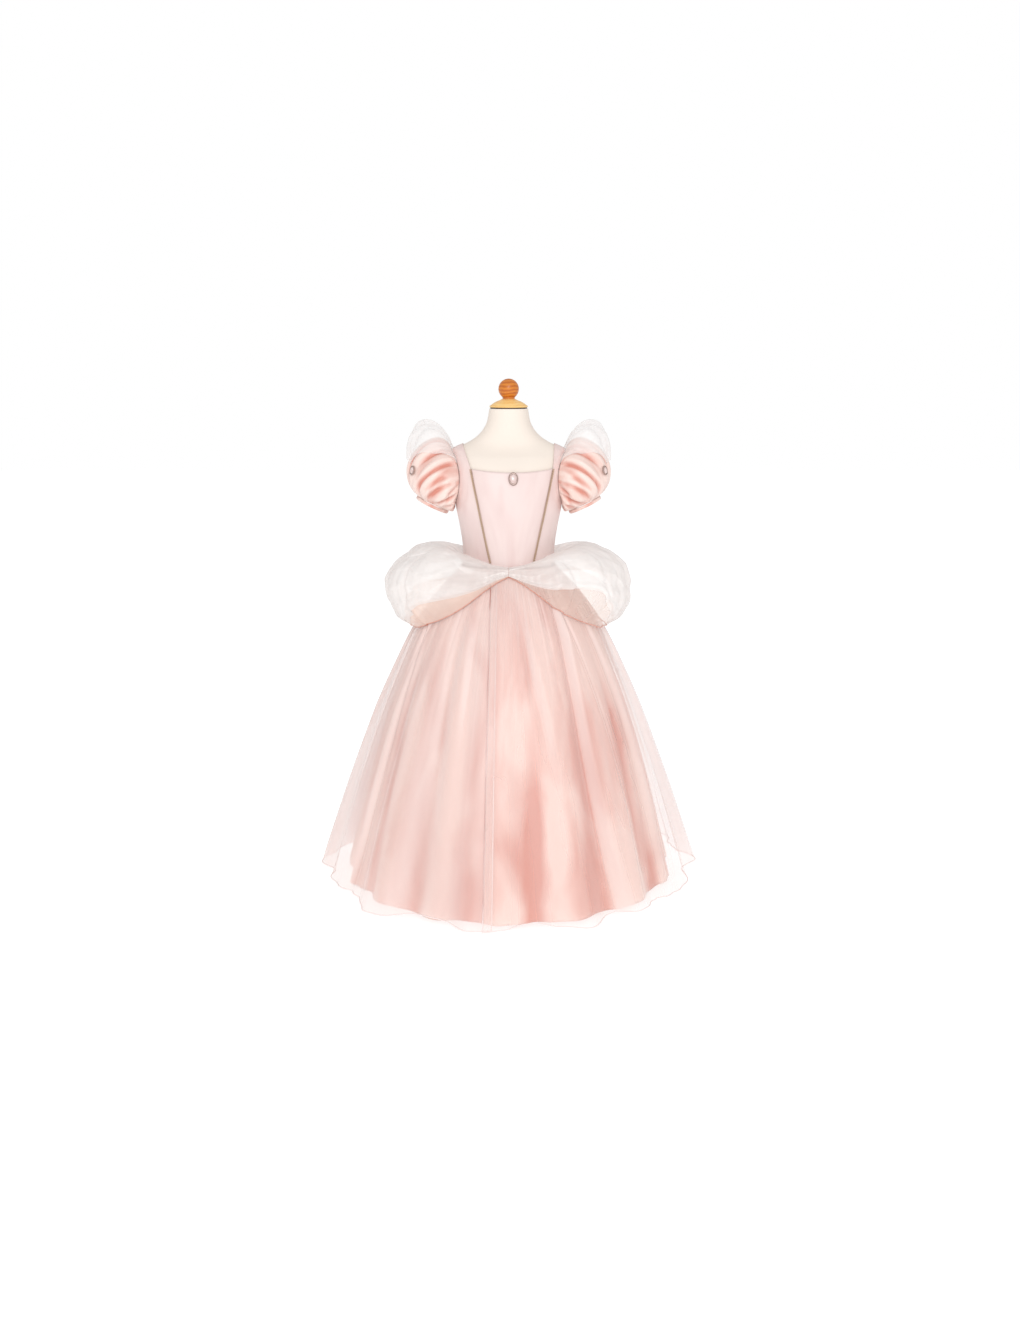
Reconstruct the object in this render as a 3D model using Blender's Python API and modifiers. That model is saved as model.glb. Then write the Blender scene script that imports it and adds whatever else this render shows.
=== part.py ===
"""A child's princess costume dress, worn by a small dress form on a stand.

Metres, +Z up. The dress faces -Y, so the wearer's left is +X. The origin is the middle of the
stand's underside. An azimuth is measured round +Z from the front, towards the wearer's left.
The cloth is built as thin walls through rings worked out from the sizes below.
"""

import math

import bmesh
import bpy
import numpy as np
from mathutils import Vector

# Heights
WAIST_Z = 0.625
NECKLINE_Z = 0.8165
NECKLINE_SCOOP = 0.006
UNDERARM_Z = 0.748
SHOULDER_TIP_Z = 0.851
HEM_Z = 0.014
SATIN_HEM_Z = 0.009

# Walls and the gaps between pieces
BODICE_WALL = 0.0012
SATIN_WALL = 0.0012
ORGANZA_WALL = 0.0010
SEAM_GAP = 0.0004
BODICE_CLEARANCE = 0.0016
LAYER_STEP = 0.0022
HALF_GAP_ANGLE = SEAM_GAP / 2 / 0.085  # half a seam's gap as an angle, at the waist's radius

# The dress form: a row for each section, half width and half depth, and how far it stands back
FORM_SECTIONS = (
    # height, half_width, half_depth, back_shift
    (0.462, 0.1080, 0.0880, 0.004),
    (0.480, 0.1120, 0.0910, 0.004),
    (0.540, 0.1080, 0.0870, 0.004),
    (0.600, 0.0920, 0.0760, 0.002),
    (0.645, 0.0865, 0.0705, 0.000),
    (0.700, 0.0930, 0.0750, -0.003),
    (0.742, 0.1010, 0.0800, -0.004),
    (0.780, 0.1060, 0.0800, -0.003),
    (0.815, 0.1110, 0.0740, 0.000),
    (0.838, 0.1135, 0.0620, 0.002),
    (0.8485, 0.1120, 0.0520, 0.003),
    (0.8555, 0.1010, 0.0460, 0.003),
    (0.8640, 0.0820, 0.0420, 0.003),
    (0.8760, 0.0630, 0.0400, 0.002),
    (0.8900, 0.0500, 0.0390, 0.001),
    (0.9060, 0.0420, 0.0380, 0.000),
    (0.9300, 0.0375, 0.0365, 0.000),
)
FORM_SIDES = 24
FORM_RING_STEP = 0.024
SHOULDER_RING_STEP = 0.009

# The stand, the neck cap and its ball
BASE_RADIUS = 0.150
BASE_THICKNESS = 0.022
BASE_EDGE = 0.005
COLLAR_RADIUS = 0.024
COLLAR_HEIGHT = 0.020
POLE_RADIUS = 0.011
CAP_RADIUS = 0.0375
CAP_HEIGHT = 0.018
CAP_RIM = 0.004
BALL_RADIUS = 0.0198
BALL_NECK_RADIUS = 0.012
TURNED_SIDES = 24

# The bodice: the front seams run in from the neckline's corners to the waist
SEAM_AT_WAIST_X = 0.038
SEAM_AT_NECKLINE_X = 0.078
STRAP_AT_SHOULDER_X = 0.0885
SHOULDER_TIP_X = 0.1110
ARMHOLE_HALF_DEPTH = 0.040
BODICE_TURN = math.radians(4.5)  # the front sits turned a little on the form, to the wearer's left
STRAP_ROWS = 5
BODICE_ROW_HEIGHTS = (0.636, 0.675, 0.715, 0.7545, 0.7585, 0.767, 0.781, 0.798)  # below the neckline
BRAID_WIDTH = 0.0046
BRAID_THICKNESS = 0.0014
PLACKET_WIDTH = 0.018
TRIM_END = 0.001
BODY_ROWS = np.array([WAIST_Z + SEAM_GAP, *BODICE_ROW_HEIGHTS, NECKLINE_Z])

# The skirt: a row for each section of the organza overskirt, at its mean radius
SKIRT_SECTIONS = (
    # height, half_width, half_depth
    (0.006, 0.3680, 0.3900),
    (0.090, 0.3420, 0.3620),
    (0.1865, 0.3120, 0.3280),
    (0.270, 0.2830, 0.2950),
    (0.353, 0.2520, 0.2610),
    (0.430, 0.2190, 0.2250),
    (0.492, 0.1900, 0.1920),
    (0.540, 0.1620, 0.1610),
    (0.580, 0.1330, 0.1270),
    (0.608, 0.1075, 0.0950),
    (0.620, 0.0975, 0.0825),
    (0.628, 0.0935, 0.0780),
)
# The overskirt's largest folds at the hem, one row for each crest round the dress
SKIRT_FOLDS = (
    # azimuth_deg, depth
    (-92, 0.015),
    (-66, 0.005),
    (-45, 0.019),
    (-9, 0.012),
    (21, 0.011),
    (42, 0.015),
    (68, 0.006),
    (89, 0.015),
    (118, 0.012),
    (147, 0.012),
    (172, 0.010),
    (200, 0.011),
    (236, 0.013),
)
FINE_FOLDS = 25
FINE_FOLD_DEPTH = 0.0034
SKIRT_COLUMNS = 49
SKIRT_ROW_DROPS = (0.0, 0.035, 0.09, 0.18, 0.34, 0.55, 0.78, 1.0)  # shares, waist to hem
HEM_WAVE = 0.0045
LAP_EDGE_X = (-0.033, -0.045)  # the upper front edge, at the waist and at the hem
UNDER_EDGE_X = (-0.022, -0.030)  # the edge beneath it
LAP_LOOSENESS = 0.0040  # how much further apart the two hang at the hem
LAP_WIDTH = math.radians(32)
SATIN_GAP_PER_DROP = (0.046, 0.070)  # at the front and back, and at the sides
SATIN_FOLDS = 15
SATIN_FOLD_DEPTH = 0.008
SATIN_COLUMNS = 30
SATIN_ROW_DROPS = (0.0, 0.035, 0.09, 0.18, 0.34, 0.66, 1.0)

# The panniers: a row for each azimuth from the front, where the puff is caught down and how full it is
PANNIER_SECTIONS = (
    # azimuth_deg, catch_z, fullness
    (0.2, 0.6130, 0.06),
    (10.0, 0.6040, 0.13),
    (20.0, 0.5890, 0.26),
    (30.0, 0.5680, 0.46),
    (42.0, 0.5430, 0.72),
    (56.0, 0.5250, 0.91),
    (74.0, 0.5080, 0.99),
    (90.0, 0.5040, 1.00),
)
PANNIER_SEAM_RISE = 0.0030
PANNIER_SEAM_OUT = 0.004  # how far the curve turns out at the waist, even where it is flat
PANNIER_BACK_GAP = math.radians(10)
PANNIER_BACK_TAPER = 0.82
PANNIER_RISE = (0.060, 0.112)  # out and up, of the curve's handle at the waist
PANNIER_SPREAD = (0.132, 0.080)  # out and up, of its handle at the catch
PANNIER_GATHERS = 10
PANNIER_GATHER_DEPTH = 0.0045
PANNIER_CATCH_GAP = 0.0030
PANNIER_COLUMNS = 36
PANNIER_ROWS = 8

# The sleeves: the armhole lies on the bodice, and the cuff faces down and outwards
ARMHOLE_GAP = 0.0006
CUFF_CENTRE = (0.1480, -0.002, 0.7475)
CUFF_RADIUS = 0.0330
CUFF_HALF_DEPTH = 0.0360
CUFF_TILT = math.radians(64)
PUFF_FULLNESS_ROOT = (0.030, 0.060)  # of the curve's handle at the armhole, outwards and round about
PUFF_FULLNESS_END = (0.022, 0.079)  # of its handle at the cuff, back along the arm and round about
PUFF_TIGHTNESS = 0.18  # of the handles under the arm, as a share of those at the top
PUFF_FORWARD_SHARE = 0.85  # of the fullness that goes to the front and back
PUFF_GATHERS = 11
PUFF_GATHER_DEPTH = 0.0056
PUFF_COLUMNS = 44
PUFF_ROWS = 7
BAND_WIDTH = 0.007
BAND_THICKNESS = 0.0014
CREST_FRONT = (math.radians(62), math.radians(18))  # its front edge, at the armhole and far end
CREST_BACK = math.radians(-105)
CREST_SPAN = (0.03, 0.64)  # of the puff's way from armhole to cuff
CREST_RISE = 0.034
CREST_LEAN = (0.12, 0.62)  # outwards for each metre up, at the armhole and at its far end
CREST_FORWARD_SHARE = 0.8
CREST_GATHERS = 6
CREST_GATHER_DEPTH = 0.0026
CREST_COLUMNS = 26
CREST_ROWS = 7

# The oval brooches, half width, half height and thickness
BROOCH_SIZE = (0.0096, 0.0130, 0.0030)
SLEEVE_BROOCH_SIZE = (0.0072, 0.0094, 0.0026)
STONE_SHARE = 0.70
STONE_HEIGHT = 0.0034
BROOCH_Z = 0.7985
# On the crest of the gather in front of the top one, two thirds of the way to the cuff.
SLEEVE_BROOCH_AT = (2 * math.pi / PUFF_GATHERS, 4 / (PUFF_ROWS - 1))
BROOCH_SIDES = 14

# sRGB colour, roughness and metallic of each material
MATERIALS = {
    "jersey": ("#FCF2E6", 0.9, 0.0),
    "maple": ("#F3C07C", 0.35, 0.0),
    "cherry_wood": ("#DE8A3A", 0.3, 0.0),
    "steel": ("#B9BCC0", 0.3, 1.0),
    "bodice_satin": ("#F9E3E0", 0.4, 0.0),
    "skirt_satin": ("#F2BFB2", 0.35, 0.0),
    "organza": ("#F8DEDA", 0.3, 0.0),
    "white_organza": ("#FAF5F1", 0.3, 0.0),
    "sleeve_satin": ("#F3C3B6", 0.4, 0.0),
    "gold_braid": ("#C9A98A", 0.35, 0.7),
    "pewter": ("#A8938D", 0.35, 0.9),
    "pearl": ("#F4EDEA", 0.15, 0.0),
}


def smooth_curve(rows, column, at):
    """The table's column at the heights or angles asked for, on a curve with no overshoot."""
    table = np.array(rows, float)
    x, y = table[:, 0], table[:, column]
    step, slope = np.diff(x), np.diff(y) / np.diff(x)
    tangent = np.zeros(len(x))
    same_way = slope[:-1] * slope[1:] > 0
    safe = np.where(same_way, slope[:-1] * slope[1:], 1.0)
    tangent[1:-1] = np.where(same_way, 2 * safe / (slope[:-1] + slope[1:] + 1e-12 * ~same_way), 0.0)
    tangent[0], tangent[-1] = slope[0], slope[-1]
    at = np.clip(np.asarray(at, float), x[0], x[-1])
    k = np.clip(np.searchsorted(x, at) - 1, 0, len(x) - 2)
    t = (at - x[k]) / step[k]
    return (
        y[k] * (1 + 2 * t) * (1 - t) ** 2
        + tangent[k] * step[k] * t * (1 - t) ** 2
        + y[k + 1] * t**2 * (3 - 2 * t)
        + tangent[k + 1] * step[k] * t**2 * (t - 1)
    )


def linear(hex_colour):
    """An sRGB hex colour as linear red, green and blue."""
    values = [int(hex_colour[i : i + 2], 16) / 255 for i in (1, 3, 5)]
    return [v / 12.92 if v <= 0.04045 else ((v + 0.055) / 1.055) ** 2.4 for v in values]


def material(name):
    """The named material, made the first time it is asked for."""
    if name in bpy.data.materials:
        return bpy.data.materials[name]
    colour, roughness, metallic = MATERIALS[name]
    made = bpy.data.materials.new(name)
    made.use_nodes = True
    shader = made.node_tree.nodes["Principled BSDF"]
    shader.inputs["Base Color"].default_value = (*linear(colour), 1.0)
    shader.inputs["Roughness"].default_value = roughness
    shader.inputs["Metallic"].default_value = metallic
    return made


def add_object(name, mesh, finish, parent):
    """Puts a mesh in the dress's collection, with its material, under its group."""
    obj = bpy.data.objects.new(name, mesh)
    mesh.materials.append(material(finish))
    bpy.data.collections["princess_dress"].objects.link(obj)
    obj.parent = parent
    return obj


def group(name):
    """An empty that carries one group of pieces."""
    empty = bpy.data.objects.new(name, None)
    bpy.data.collections["princess_dress"].objects.link(empty)
    return empty


def grid_mesh(name, points, closed=False, kept=None):
    """A surface through an array of points, rows by columns by xyz. closed joins the last column
    to the first, and kept says which cells of the grid have cloth."""
    rows, columns = points.shape[:2]
    index = np.arange(rows * columns).reshape(rows, columns)
    after = np.roll(index, -1, axis=1)
    if not closed:
        index, after = index[:, :-1], after[:, :-1]
    faces = np.stack([index[:-1], after[:-1], after[1:], index[1:]], axis=-1)
    if kept is not None:
        faces = faces[kept]
    mesh = bpy.data.meshes.new(name)
    mesh.from_pydata(points.reshape(-1, 3).tolist(), [], faces.reshape(-1, 4).tolist())
    cleaned = bmesh.new()
    cleaned.from_mesh(mesh)
    loose = [v for v in cleaned.verts if not v.link_faces]
    bmesh.ops.delete(cleaned, geom=loose, context="VERTS")
    cleaned.to_mesh(mesh)
    cleaned.free()
    mesh.shade_smooth()
    return mesh


def cloth(name, points, wall, finish, parent, closed=False, kept=None):
    """A cloth panel: its outer face is the grid given, and the wall grows inwards from it."""
    obj = add_object(name, grid_mesh(name, points, closed, kept), finish, parent)
    thicken = obj.modifiers.new("cloth_wall", "SOLIDIFY")
    thicken.thickness = wall
    thicken.offset = -1.0
    return obj


def mirrored(points):
    """The same panel for the other side of the dress, with its columns turned to face outwards."""
    return (points * np.array([-1.0, 1.0, 1.0]))[:, ::-1]


def turned(name, profile, finish, parent, sides=TURNED_SIDES):
    """A turned piece: the profile's radius and height pairs run down its outer side."""
    mesh = bpy.data.meshes.new(name)
    points = [(radius, 0.0, height) for radius, height in profile]
    mesh.from_pydata(points, [(i, i + 1) for i in range(len(points) - 1)], [])
    obj = add_object(name, mesh, finish, parent)
    screw = obj.modifiers.new("lathe", "SCREW")
    screw.steps = screw.render_steps = sides
    screw.use_merge_vertices = True
    screw.merge_threshold = 0.0001
    screw.use_smooth_shade = True
    return obj


def skin(azimuth, height):
    """The point of the form's surface at an azimuth and height."""
    x = smooth_curve(FORM_SECTIONS, 1, height) * np.sin(azimuth)
    y = smooth_curve(FORM_SECTIONS, 3, height) - smooth_curve(FORM_SECTIONS, 2, height) * np.cos(
        azimuth
    )
    return np.stack(np.broadcast_arrays(x, y, np.asarray(height, float)), axis=-1)


def torso_facing(azimuth, height):
    """The direction in which the form's surface faces."""
    step = 1e-4
    around = skin(azimuth + step, height) - skin(azimuth - step, height)
    up = skin(azimuth, height + step) - skin(azimuth, height - step)
    facing = np.cross(around, up)
    return facing / np.linalg.norm(facing, axis=-1, keepdims=True)


def torso(azimuth, height, out):
    """The point that lies straight out from the form's surface by a clearance."""
    return skin(azimuth, height) + out * torso_facing(azimuth, height)


def torso_azimuth(x, height):
    """The azimuth at which the form is x metres from its middle plane."""
    return np.arcsin(np.clip(np.asarray(x) / smooth_curve(FORM_SECTIONS, 1, height), -1.0, 1.0))


def shoulder_height(x):
    """The height at which the form narrows above the chest to x metres."""
    heights = np.linspace(0.842, 0.900, 400)
    return float(np.interp(-x, -smooth_curve(FORM_SECTIONS, 1, heights), heights))


def form_heights():
    """Heights of the form's rings, closer together over the sloping shoulders."""
    low, high = FORM_SECTIONS[0][0], FORM_SECTIONS[-1][0]
    body = np.arange(low, 0.822, FORM_RING_STEP)
    neck = np.arange(0.828, high, SHOULDER_RING_STEP)
    return np.concatenate([body, neck, [high]])


def build_form(parent):
    """The padded torso of the form, a closed loft of oval rings from hips to neck."""
    heights = form_heights()
    angles = np.arange(FORM_SIDES) * 2 * math.pi / FORM_SIDES
    points = skin(angles[None, :], heights[:, None])
    mesh = grid_mesh("form_torso", points, closed=True)
    ends = bmesh.new()
    ends.from_mesh(mesh)
    bmesh.ops.holes_fill(ends, edges=[e for e in ends.edges if e.is_boundary], sides=0)
    bmesh.ops.recalc_face_normals(ends, faces=ends.faces)
    ends.to_mesh(mesh)
    ends.free()
    add_object("form_torso", mesh, "jersey", parent)


def build_stand(parent):
    """Base, pole, neck cap and ball of the form, all turned."""
    edge, collar_top = BASE_EDGE, BASE_THICKNESS + COLLAR_HEIGHT
    turned(
        "form_base",
        (
            (0.0, collar_top),
            (COLLAR_RADIUS, collar_top),
            (COLLAR_RADIUS + edge, BASE_THICKNESS + edge),
            (COLLAR_RADIUS + 3 * edge, BASE_THICKNESS),
            (BASE_RADIUS - edge, BASE_THICKNESS - edge / 2),
            (BASE_RADIUS, BASE_THICKNESS - 1.6 * edge),
            (BASE_RADIUS, edge / 2),
            (BASE_RADIUS - edge / 2, 0.0),
            (0.0, 0.0),
        ),
        "maple",
        parent,
        36,
    )
    foot, head = collar_top + SEAM_GAP, FORM_SECTIONS[0][0] - SEAM_GAP
    turned(
        "form_pole",
        ((0.0, head), (POLE_RADIUS, head), (POLE_RADIUS, foot), (0.0, foot)),
        "steel",
        parent,
        20,
    )
    seat = FORM_SECTIONS[-1][0] + SEAM_GAP
    top = seat + CAP_HEIGHT
    turned(
        "form_neck_cap",
        (
            (0.0, top),
            (BALL_NECK_RADIUS * 1.1, top),
            (CAP_RADIUS * 0.50, top - CAP_HEIGHT * 0.18),
            (CAP_RADIUS * 0.80, top - CAP_HEIGHT * 0.45),
            (CAP_RADIUS * 0.97, seat + CAP_RIM * 1.25),
            (CAP_RADIUS, seat + CAP_RIM * 0.8),
            (CAP_RADIUS * 0.98, seat),
            (0.0, seat),
        ),
        "maple",
        parent,
    )
    foot = top + SEAM_GAP
    lowest = math.asin(BALL_NECK_RADIUS / BALL_RADIUS)
    centre = foot + 0.003 + BALL_RADIUS * math.cos(lowest)
    arc = [i * (math.pi - lowest) / 9 for i in range(10)]
    ball = [(BALL_RADIUS * math.sin(a), centre + BALL_RADIUS * math.cos(a)) for a in arc]
    profile = (*ball, (BALL_NECK_RADIUS, foot), (0.0, foot))
    turned("form_finial_ball", profile, "cherry_wood", parent, 20)


def seam_x(height):
    """How far the bodice's front seam, and the strap's inner edge above it, lies from the middle."""
    rising = (np.asarray(height, float) - WAIST_Z) / (NECKLINE_Z - WAIST_Z)
    below = SEAM_AT_WAIST_X + (SEAM_AT_NECKLINE_X - SEAM_AT_WAIST_X) * rising
    over = (height - NECKLINE_Z) / (shoulder_height(STRAP_AT_SHOULDER_X) - NECKLINE_Z)
    above = SEAM_AT_NECKLINE_X + (STRAP_AT_SHOULDER_X - SEAM_AT_NECKLINE_X) * np.clip(over, 0, 1)
    return np.where(rising <= 1, below, above)


def armhole_reach(height):
    """The armhole's half depth at a height, nothing below the underarm and at the shoulder tip."""
    middle = (UNDERARM_Z + SHOULDER_TIP_Z) / 2
    half = (SHOULDER_TIP_Z - UNDERARM_Z) / 2
    across = np.clip(1 - ((np.asarray(height, float) - middle) / half) ** 2, 0, 1)
    return ARMHOLE_HALF_DEPTH * np.sqrt(across)


def scooped(height, across):
    """Rows that dip towards the middle, fully at the neckline: across is 0 there and 1 at its end."""
    rising = np.clip((height - WAIST_Z) / (NECKLINE_Z - WAIST_Z), 0, 1)
    return height - NECKLINE_SCOOP * (1 - across**2) * rising


def side_panel(inner_inset=0.0, turn=0.0, columns=7):
    """Azimuths and heights of the left side panel with its strap, from the seam to the armhole.

    Each row runs from the seam at one height to the outer edge at another, so that the last row
    lies along the top of the shoulder. The row at the neckline is the last of the body's. turn
    moves the seam round the body, and fades out up the strap."""
    top_in = shoulder_height(STRAP_AT_SHOULDER_X)
    top_out = shoulder_height(SHOULDER_TIP_X)
    rest = np.linspace(1, 0, STRAP_ROWS + 1)[1:]
    z_in = np.concatenate([BODY_ROWS, top_in - (top_in - NECKLINE_Z) * rest**1.7])
    share = (z_in - z_in[0]) / (z_in[-1] - z_in[0])
    z_out = z_in[0] + (top_out - z_in[0]) * share
    up_strap = np.clip((z_in - NECKLINE_Z) / (top_in - NECKLINE_Z), 0, 1)
    inner = torso_azimuth(seam_x(z_in) + inner_inset, z_in) + turn * (1 - up_strap)
    depth = smooth_curve(FORM_SECTIONS, 2, z_out)
    side_gap = SEAM_GAP * np.linspace(0.6, 1.6, len(depth)) / depth
    outer = np.pi / 2 - side_gap - np.arcsin(np.clip(armhole_reach(z_out) / depth, 0, 1))
    inner[-1] = outer[-1] = np.pi / 2 - side_gap[-1]
    across = np.linspace(0, 1, columns)[None, :]
    azimuth = inner[:, None] + (outer - inner)[:, None] * across
    height = z_in[:, None] + (z_out - z_in)[:, None] * across
    return azimuth, height


def build_bodice(parent):
    """Centre front, two side fronts with straps, two backs, the gold braids and the back placket."""
    out = BODICE_CLEARANCE + BODICE_WALL
    left = torso(*side_panel(SEAM_GAP / 2, BODICE_TURN), out)
    right = mirrored(torso(*side_panel(SEAM_GAP / 2, -BODICE_TURN), out))
    cloth("bodice_side_front_left", left, BODICE_WALL, "bodice_satin", parent)
    cloth("bodice_side_front_right", right, BODICE_WALL, "bodice_satin", parent)

    across = np.linspace(-1, 1, 14)[None, :]
    z = scooped(BODY_ROWS[:, None], across)
    x = across * (seam_x(z) - SEAM_GAP / 2)
    centre = torso(torso_azimuth(x, z) + BODICE_TURN, z, out)
    cloth("bodice_centre_front", centre, BODICE_WALL, "bodice_satin", parent)

    azimuth, height = side_panel()
    middle_share = np.linspace(0, 1, 6)[:-1][None, :]
    low = HALF_GAP_ANGLE + (azimuth[:, :1] - HALF_GAP_ANGLE) * middle_share
    level = scooped(np.minimum(height[:, :1], NECKLINE_Z), middle_share)
    around = math.pi - np.concatenate([low, azimuth], axis=1)
    rising = np.concatenate([level, height], axis=1)
    back = torso(around, rising, out)[:, ::-1]
    kept = np.ones((back.shape[0] - 1, back.shape[1] - 1), bool)
    kept[len(BODY_ROWS) - 1 :, azimuth.shape[1] - 1 :] = False
    cloth("bodice_back_left", back, BODICE_WALL, "bodice_satin", parent, kept=kept)
    kept = kept[:, ::-1]
    cloth("bodice_back_right", mirrored(back), BODICE_WALL, "bodice_satin", parent, kept=kept)

    # The trims share the panels' rows, so they keep the same distance from them all the way.
    lift = out + SEAM_GAP + BRAID_THICKNESS
    z = np.append(BODY_ROWS[1:-1], NECKLINE_Z - TRIM_END)[:, None]
    x = seam_x(z) + np.array([-0.5, 0.5])[None, :] * BRAID_WIDTH
    left = torso(torso_azimuth(x, z) + BODICE_TURN, z, lift)
    right = mirrored(torso(torso_azimuth(x, z) - BODICE_TURN, z, lift))
    cloth("gold_braid_left", left, BRAID_THICKNESS, "gold_braid", parent)
    cloth("gold_braid_right", right, BRAID_THICKNESS, "gold_braid", parent)

    lift = out + SEAM_GAP + BODICE_WALL
    z = scooped(BODY_ROWS, 0.0)[:, None]
    z[-1] = z[-1] - TRIM_END
    x = np.linspace(-0.5, 0.5, 3)[None, :] * PLACKET_WIDTH
    placket = torso(math.pi - torso_azimuth(x, z), z, lift)
    cloth("back_placket", placket[:, ::-1], BODICE_WALL, "bodice_satin", parent)


def fold_wave(azimuth):
    """The overskirt's largest folds: a cosine wave with its crests and depths as tabled."""
    crests = np.array(SKIRT_FOLDS, float)
    around = np.radians(np.append(crests[:, 0], crests[0, 0] + 360))
    depths = np.append(crests[:, 1], crests[0, 1])
    start = around[0]
    turn = start + np.mod(np.asarray(azimuth) - start, 2 * math.pi)
    phase = np.interp(turn, around, np.arange(len(around)) * 2 * math.pi)
    return np.interp(turn, around, depths) * np.cos(phase)


def overskirt(azimuth, height, out=0.0):
    """A point of the organza overskirt: an oval ring with folds that deepen towards the hem."""
    drop = np.clip((WAIST_Z - height) / (WAIST_Z - HEM_Z), 0, 1.05)
    fine = FINE_FOLD_DEPTH * np.cos(FINE_FOLDS * azimuth + 2 * np.sin(3 * azimuth))
    swell = (fold_wave(azimuth) + fine) * drop**1.15 + out
    x = (smooth_curve(SKIRT_SECTIONS, 1, height) + swell) * np.sin(azimuth)
    y = -(smooth_curve(SKIRT_SECTIONS, 2, height) + swell) * np.cos(azimuth)
    return np.stack(np.broadcast_arrays(x, y, height), axis=-1)


def satin(azimuth, height):
    """A point of the satin underskirt, which hangs inside the overskirt with shallower folds."""
    drop = (WAIST_Z - height) / (WAIST_Z - HEM_Z)
    front_gap, side_gap = SATIN_GAP_PER_DROP
    per_drop = front_gap + (side_gap - front_gap) * np.sin(azimuth) ** 2
    inward = LAYER_STEP + per_drop * (WAIST_Z - height)
    folds = SATIN_FOLD_DEPTH * np.cos(SATIN_FOLDS * azimuth + 0.8 * np.sin(2 * azimuth + 1))
    swell = folds * np.clip(drop, 0, 1) ** 1.3 - inward
    x = (smooth_curve(SKIRT_SECTIONS, 1, height) + swell) * np.sin(azimuth)
    y = -(smooth_curve(SKIRT_SECTIONS, 2, height) + swell) * np.cos(azimuth)
    return np.stack(np.broadcast_arrays(x, y, height), axis=-1)


def hem_height(azimuth):
    """The overskirt's hem, which rises and dips as its folds swing out and in."""
    return HEM_Z + HEM_WAVE * np.sin(9 * azimuth + 1.3 * np.sin(2 * azimuth))


def edge_azimuth(edge_x, height):
    """The azimuth of a front edge that falls nearly straight, from its x at waist and hem."""
    drop = (WAIST_Z - height) / (WAIST_Z - HEM_Z)
    x = edge_x[0] + (edge_x[1] - edge_x[0]) * drop
    return np.arcsin(x / smooth_curve(SKIRT_SECTIONS, 1, height))


def build_skirt(parent):
    """Two satin panels seamed at the sides, and two organza panels that lap over at the front."""
    drop = np.array(SKIRT_ROW_DROPS)[:, None]
    # Each panel runs from its own front edge round to the centre back.
    share = np.linspace(0, 1, SKIRT_COLUMNS)[None, :]
    for side, edge_x in (("left", LAP_EDGE_X), ("right", UNDER_EDGE_X)):
        sign = 1 if side == "left" else -1
        first_height = WAIST_Z - (WAIST_Z - HEM_Z) * drop
        front = edge_azimuth(edge_x, first_height)
        azimuth = front + (sign * (math.pi - HALF_GAP_ANGLE) - front) * share
        hem = hem_height(azimuth[-1:])
        height = WAIST_Z - (WAIST_Z - hem) * drop
        lap = 0.0
        if side == "left":
            lap = (LAYER_STEP + LAP_LOOSENESS * drop) * np.exp(-((azimuth / LAP_WIDTH) ** 4))
        panel = overskirt(azimuth, height, ORGANZA_WALL / 2 + lap)
        if side == "right":
            panel = panel[:, ::-1]
        cloth(f"overskirt_{side}", panel, ORGANZA_WALL, "organza", parent)

    drop = np.array(SATIN_ROW_DROPS)[:, None]
    height = WAIST_Z - (WAIST_Z - SATIN_HEM_Z) * drop
    quarter = math.pi / 2 - HALF_GAP_ANGLE
    around = np.linspace(-quarter, quarter, SATIN_COLUMNS)[None, :]
    cloth("underskirt_front", satin(around, height), SATIN_WALL, "skirt_satin", parent)
    cloth("underskirt_back", satin(around + math.pi, height), SATIN_WALL, "skirt_satin", parent)


def pannier(side_azimuth, along):
    """A point of the left pannier: at each azimuth a curve leaves the waist upwards, swells out
    over the hip and comes back to the overskirt, gathered most where it leaves the waist."""
    from_back = (math.pi - side_azimuth) * PANNIER_BACK_TAPER
    from_front = np.degrees(np.where(side_azimuth < math.pi / 2, side_azimuth, from_back))
    catch_z = smooth_curve(PANNIER_SECTIONS, 1, from_front)
    full = smooth_curve(PANNIER_SECTIONS, 2, from_front)
    out = BODICE_CLEARANCE + BODICE_WALL + ORGANZA_WALL + SEAM_GAP
    start = torso(side_azimuth, WAIST_Z + PANNIER_SEAM_RISE, out)
    catch = overskirt(side_azimuth, catch_z, ORGANZA_WALL * 1.5 + LAYER_STEP + PANNIER_CATCH_GAP)
    outward = np.stack([np.sin(side_azimuth), -np.cos(side_azimuth), 0 * side_azimuth], axis=-1)
    upward = np.array([0.0, 0.0, 1.0])
    full = full[..., None]
    handle_a = start + full * (PANNIER_RISE[0] * outward + PANNIER_RISE[1] * upward)
    handle_a = handle_a + PANNIER_SEAM_OUT * outward
    handle_b = catch + full * (PANNIER_SPREAD[0] * outward + PANNIER_SPREAD[1] * upward)
    t = along[..., None]
    curve = (
        (1 - t) ** 3 * start
        + 3 * (1 - t) ** 2 * t * handle_a
        + 3 * (1 - t) * t**2 * handle_b
        + t**3 * catch
    )
    wave = np.cos(2 * PANNIER_GATHERS * side_azimuth + 1.2 * np.sin(3 * side_azimuth))
    swell = np.sin(np.pi * np.clip(along, 0, 1)) ** 0.8 * (0.35 + 0.65 * full[..., 0])
    return curve + (PANNIER_GATHER_DEPTH * wave * swell)[..., None] * outward


def build_panniers(parent):
    """The organza puffs over the hips, each from centre front to centre back."""
    first, last = math.radians(PANNIER_SECTIONS[0][0]), math.pi - PANNIER_BACK_GAP
    azimuth = np.linspace(first, last, PANNIER_COLUMNS)[None, :]
    along = np.linspace(0, 1, PANNIER_ROWS)[:, None]
    azimuth, along = np.broadcast_arrays(azimuth, along)
    left = pannier(azimuth, along)[::-1]
    cloth("pannier_left", left, ORGANZA_WALL, "white_organza", parent)
    cloth("pannier_right", mirrored(left), ORGANZA_WALL, "white_organza", parent)


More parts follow.
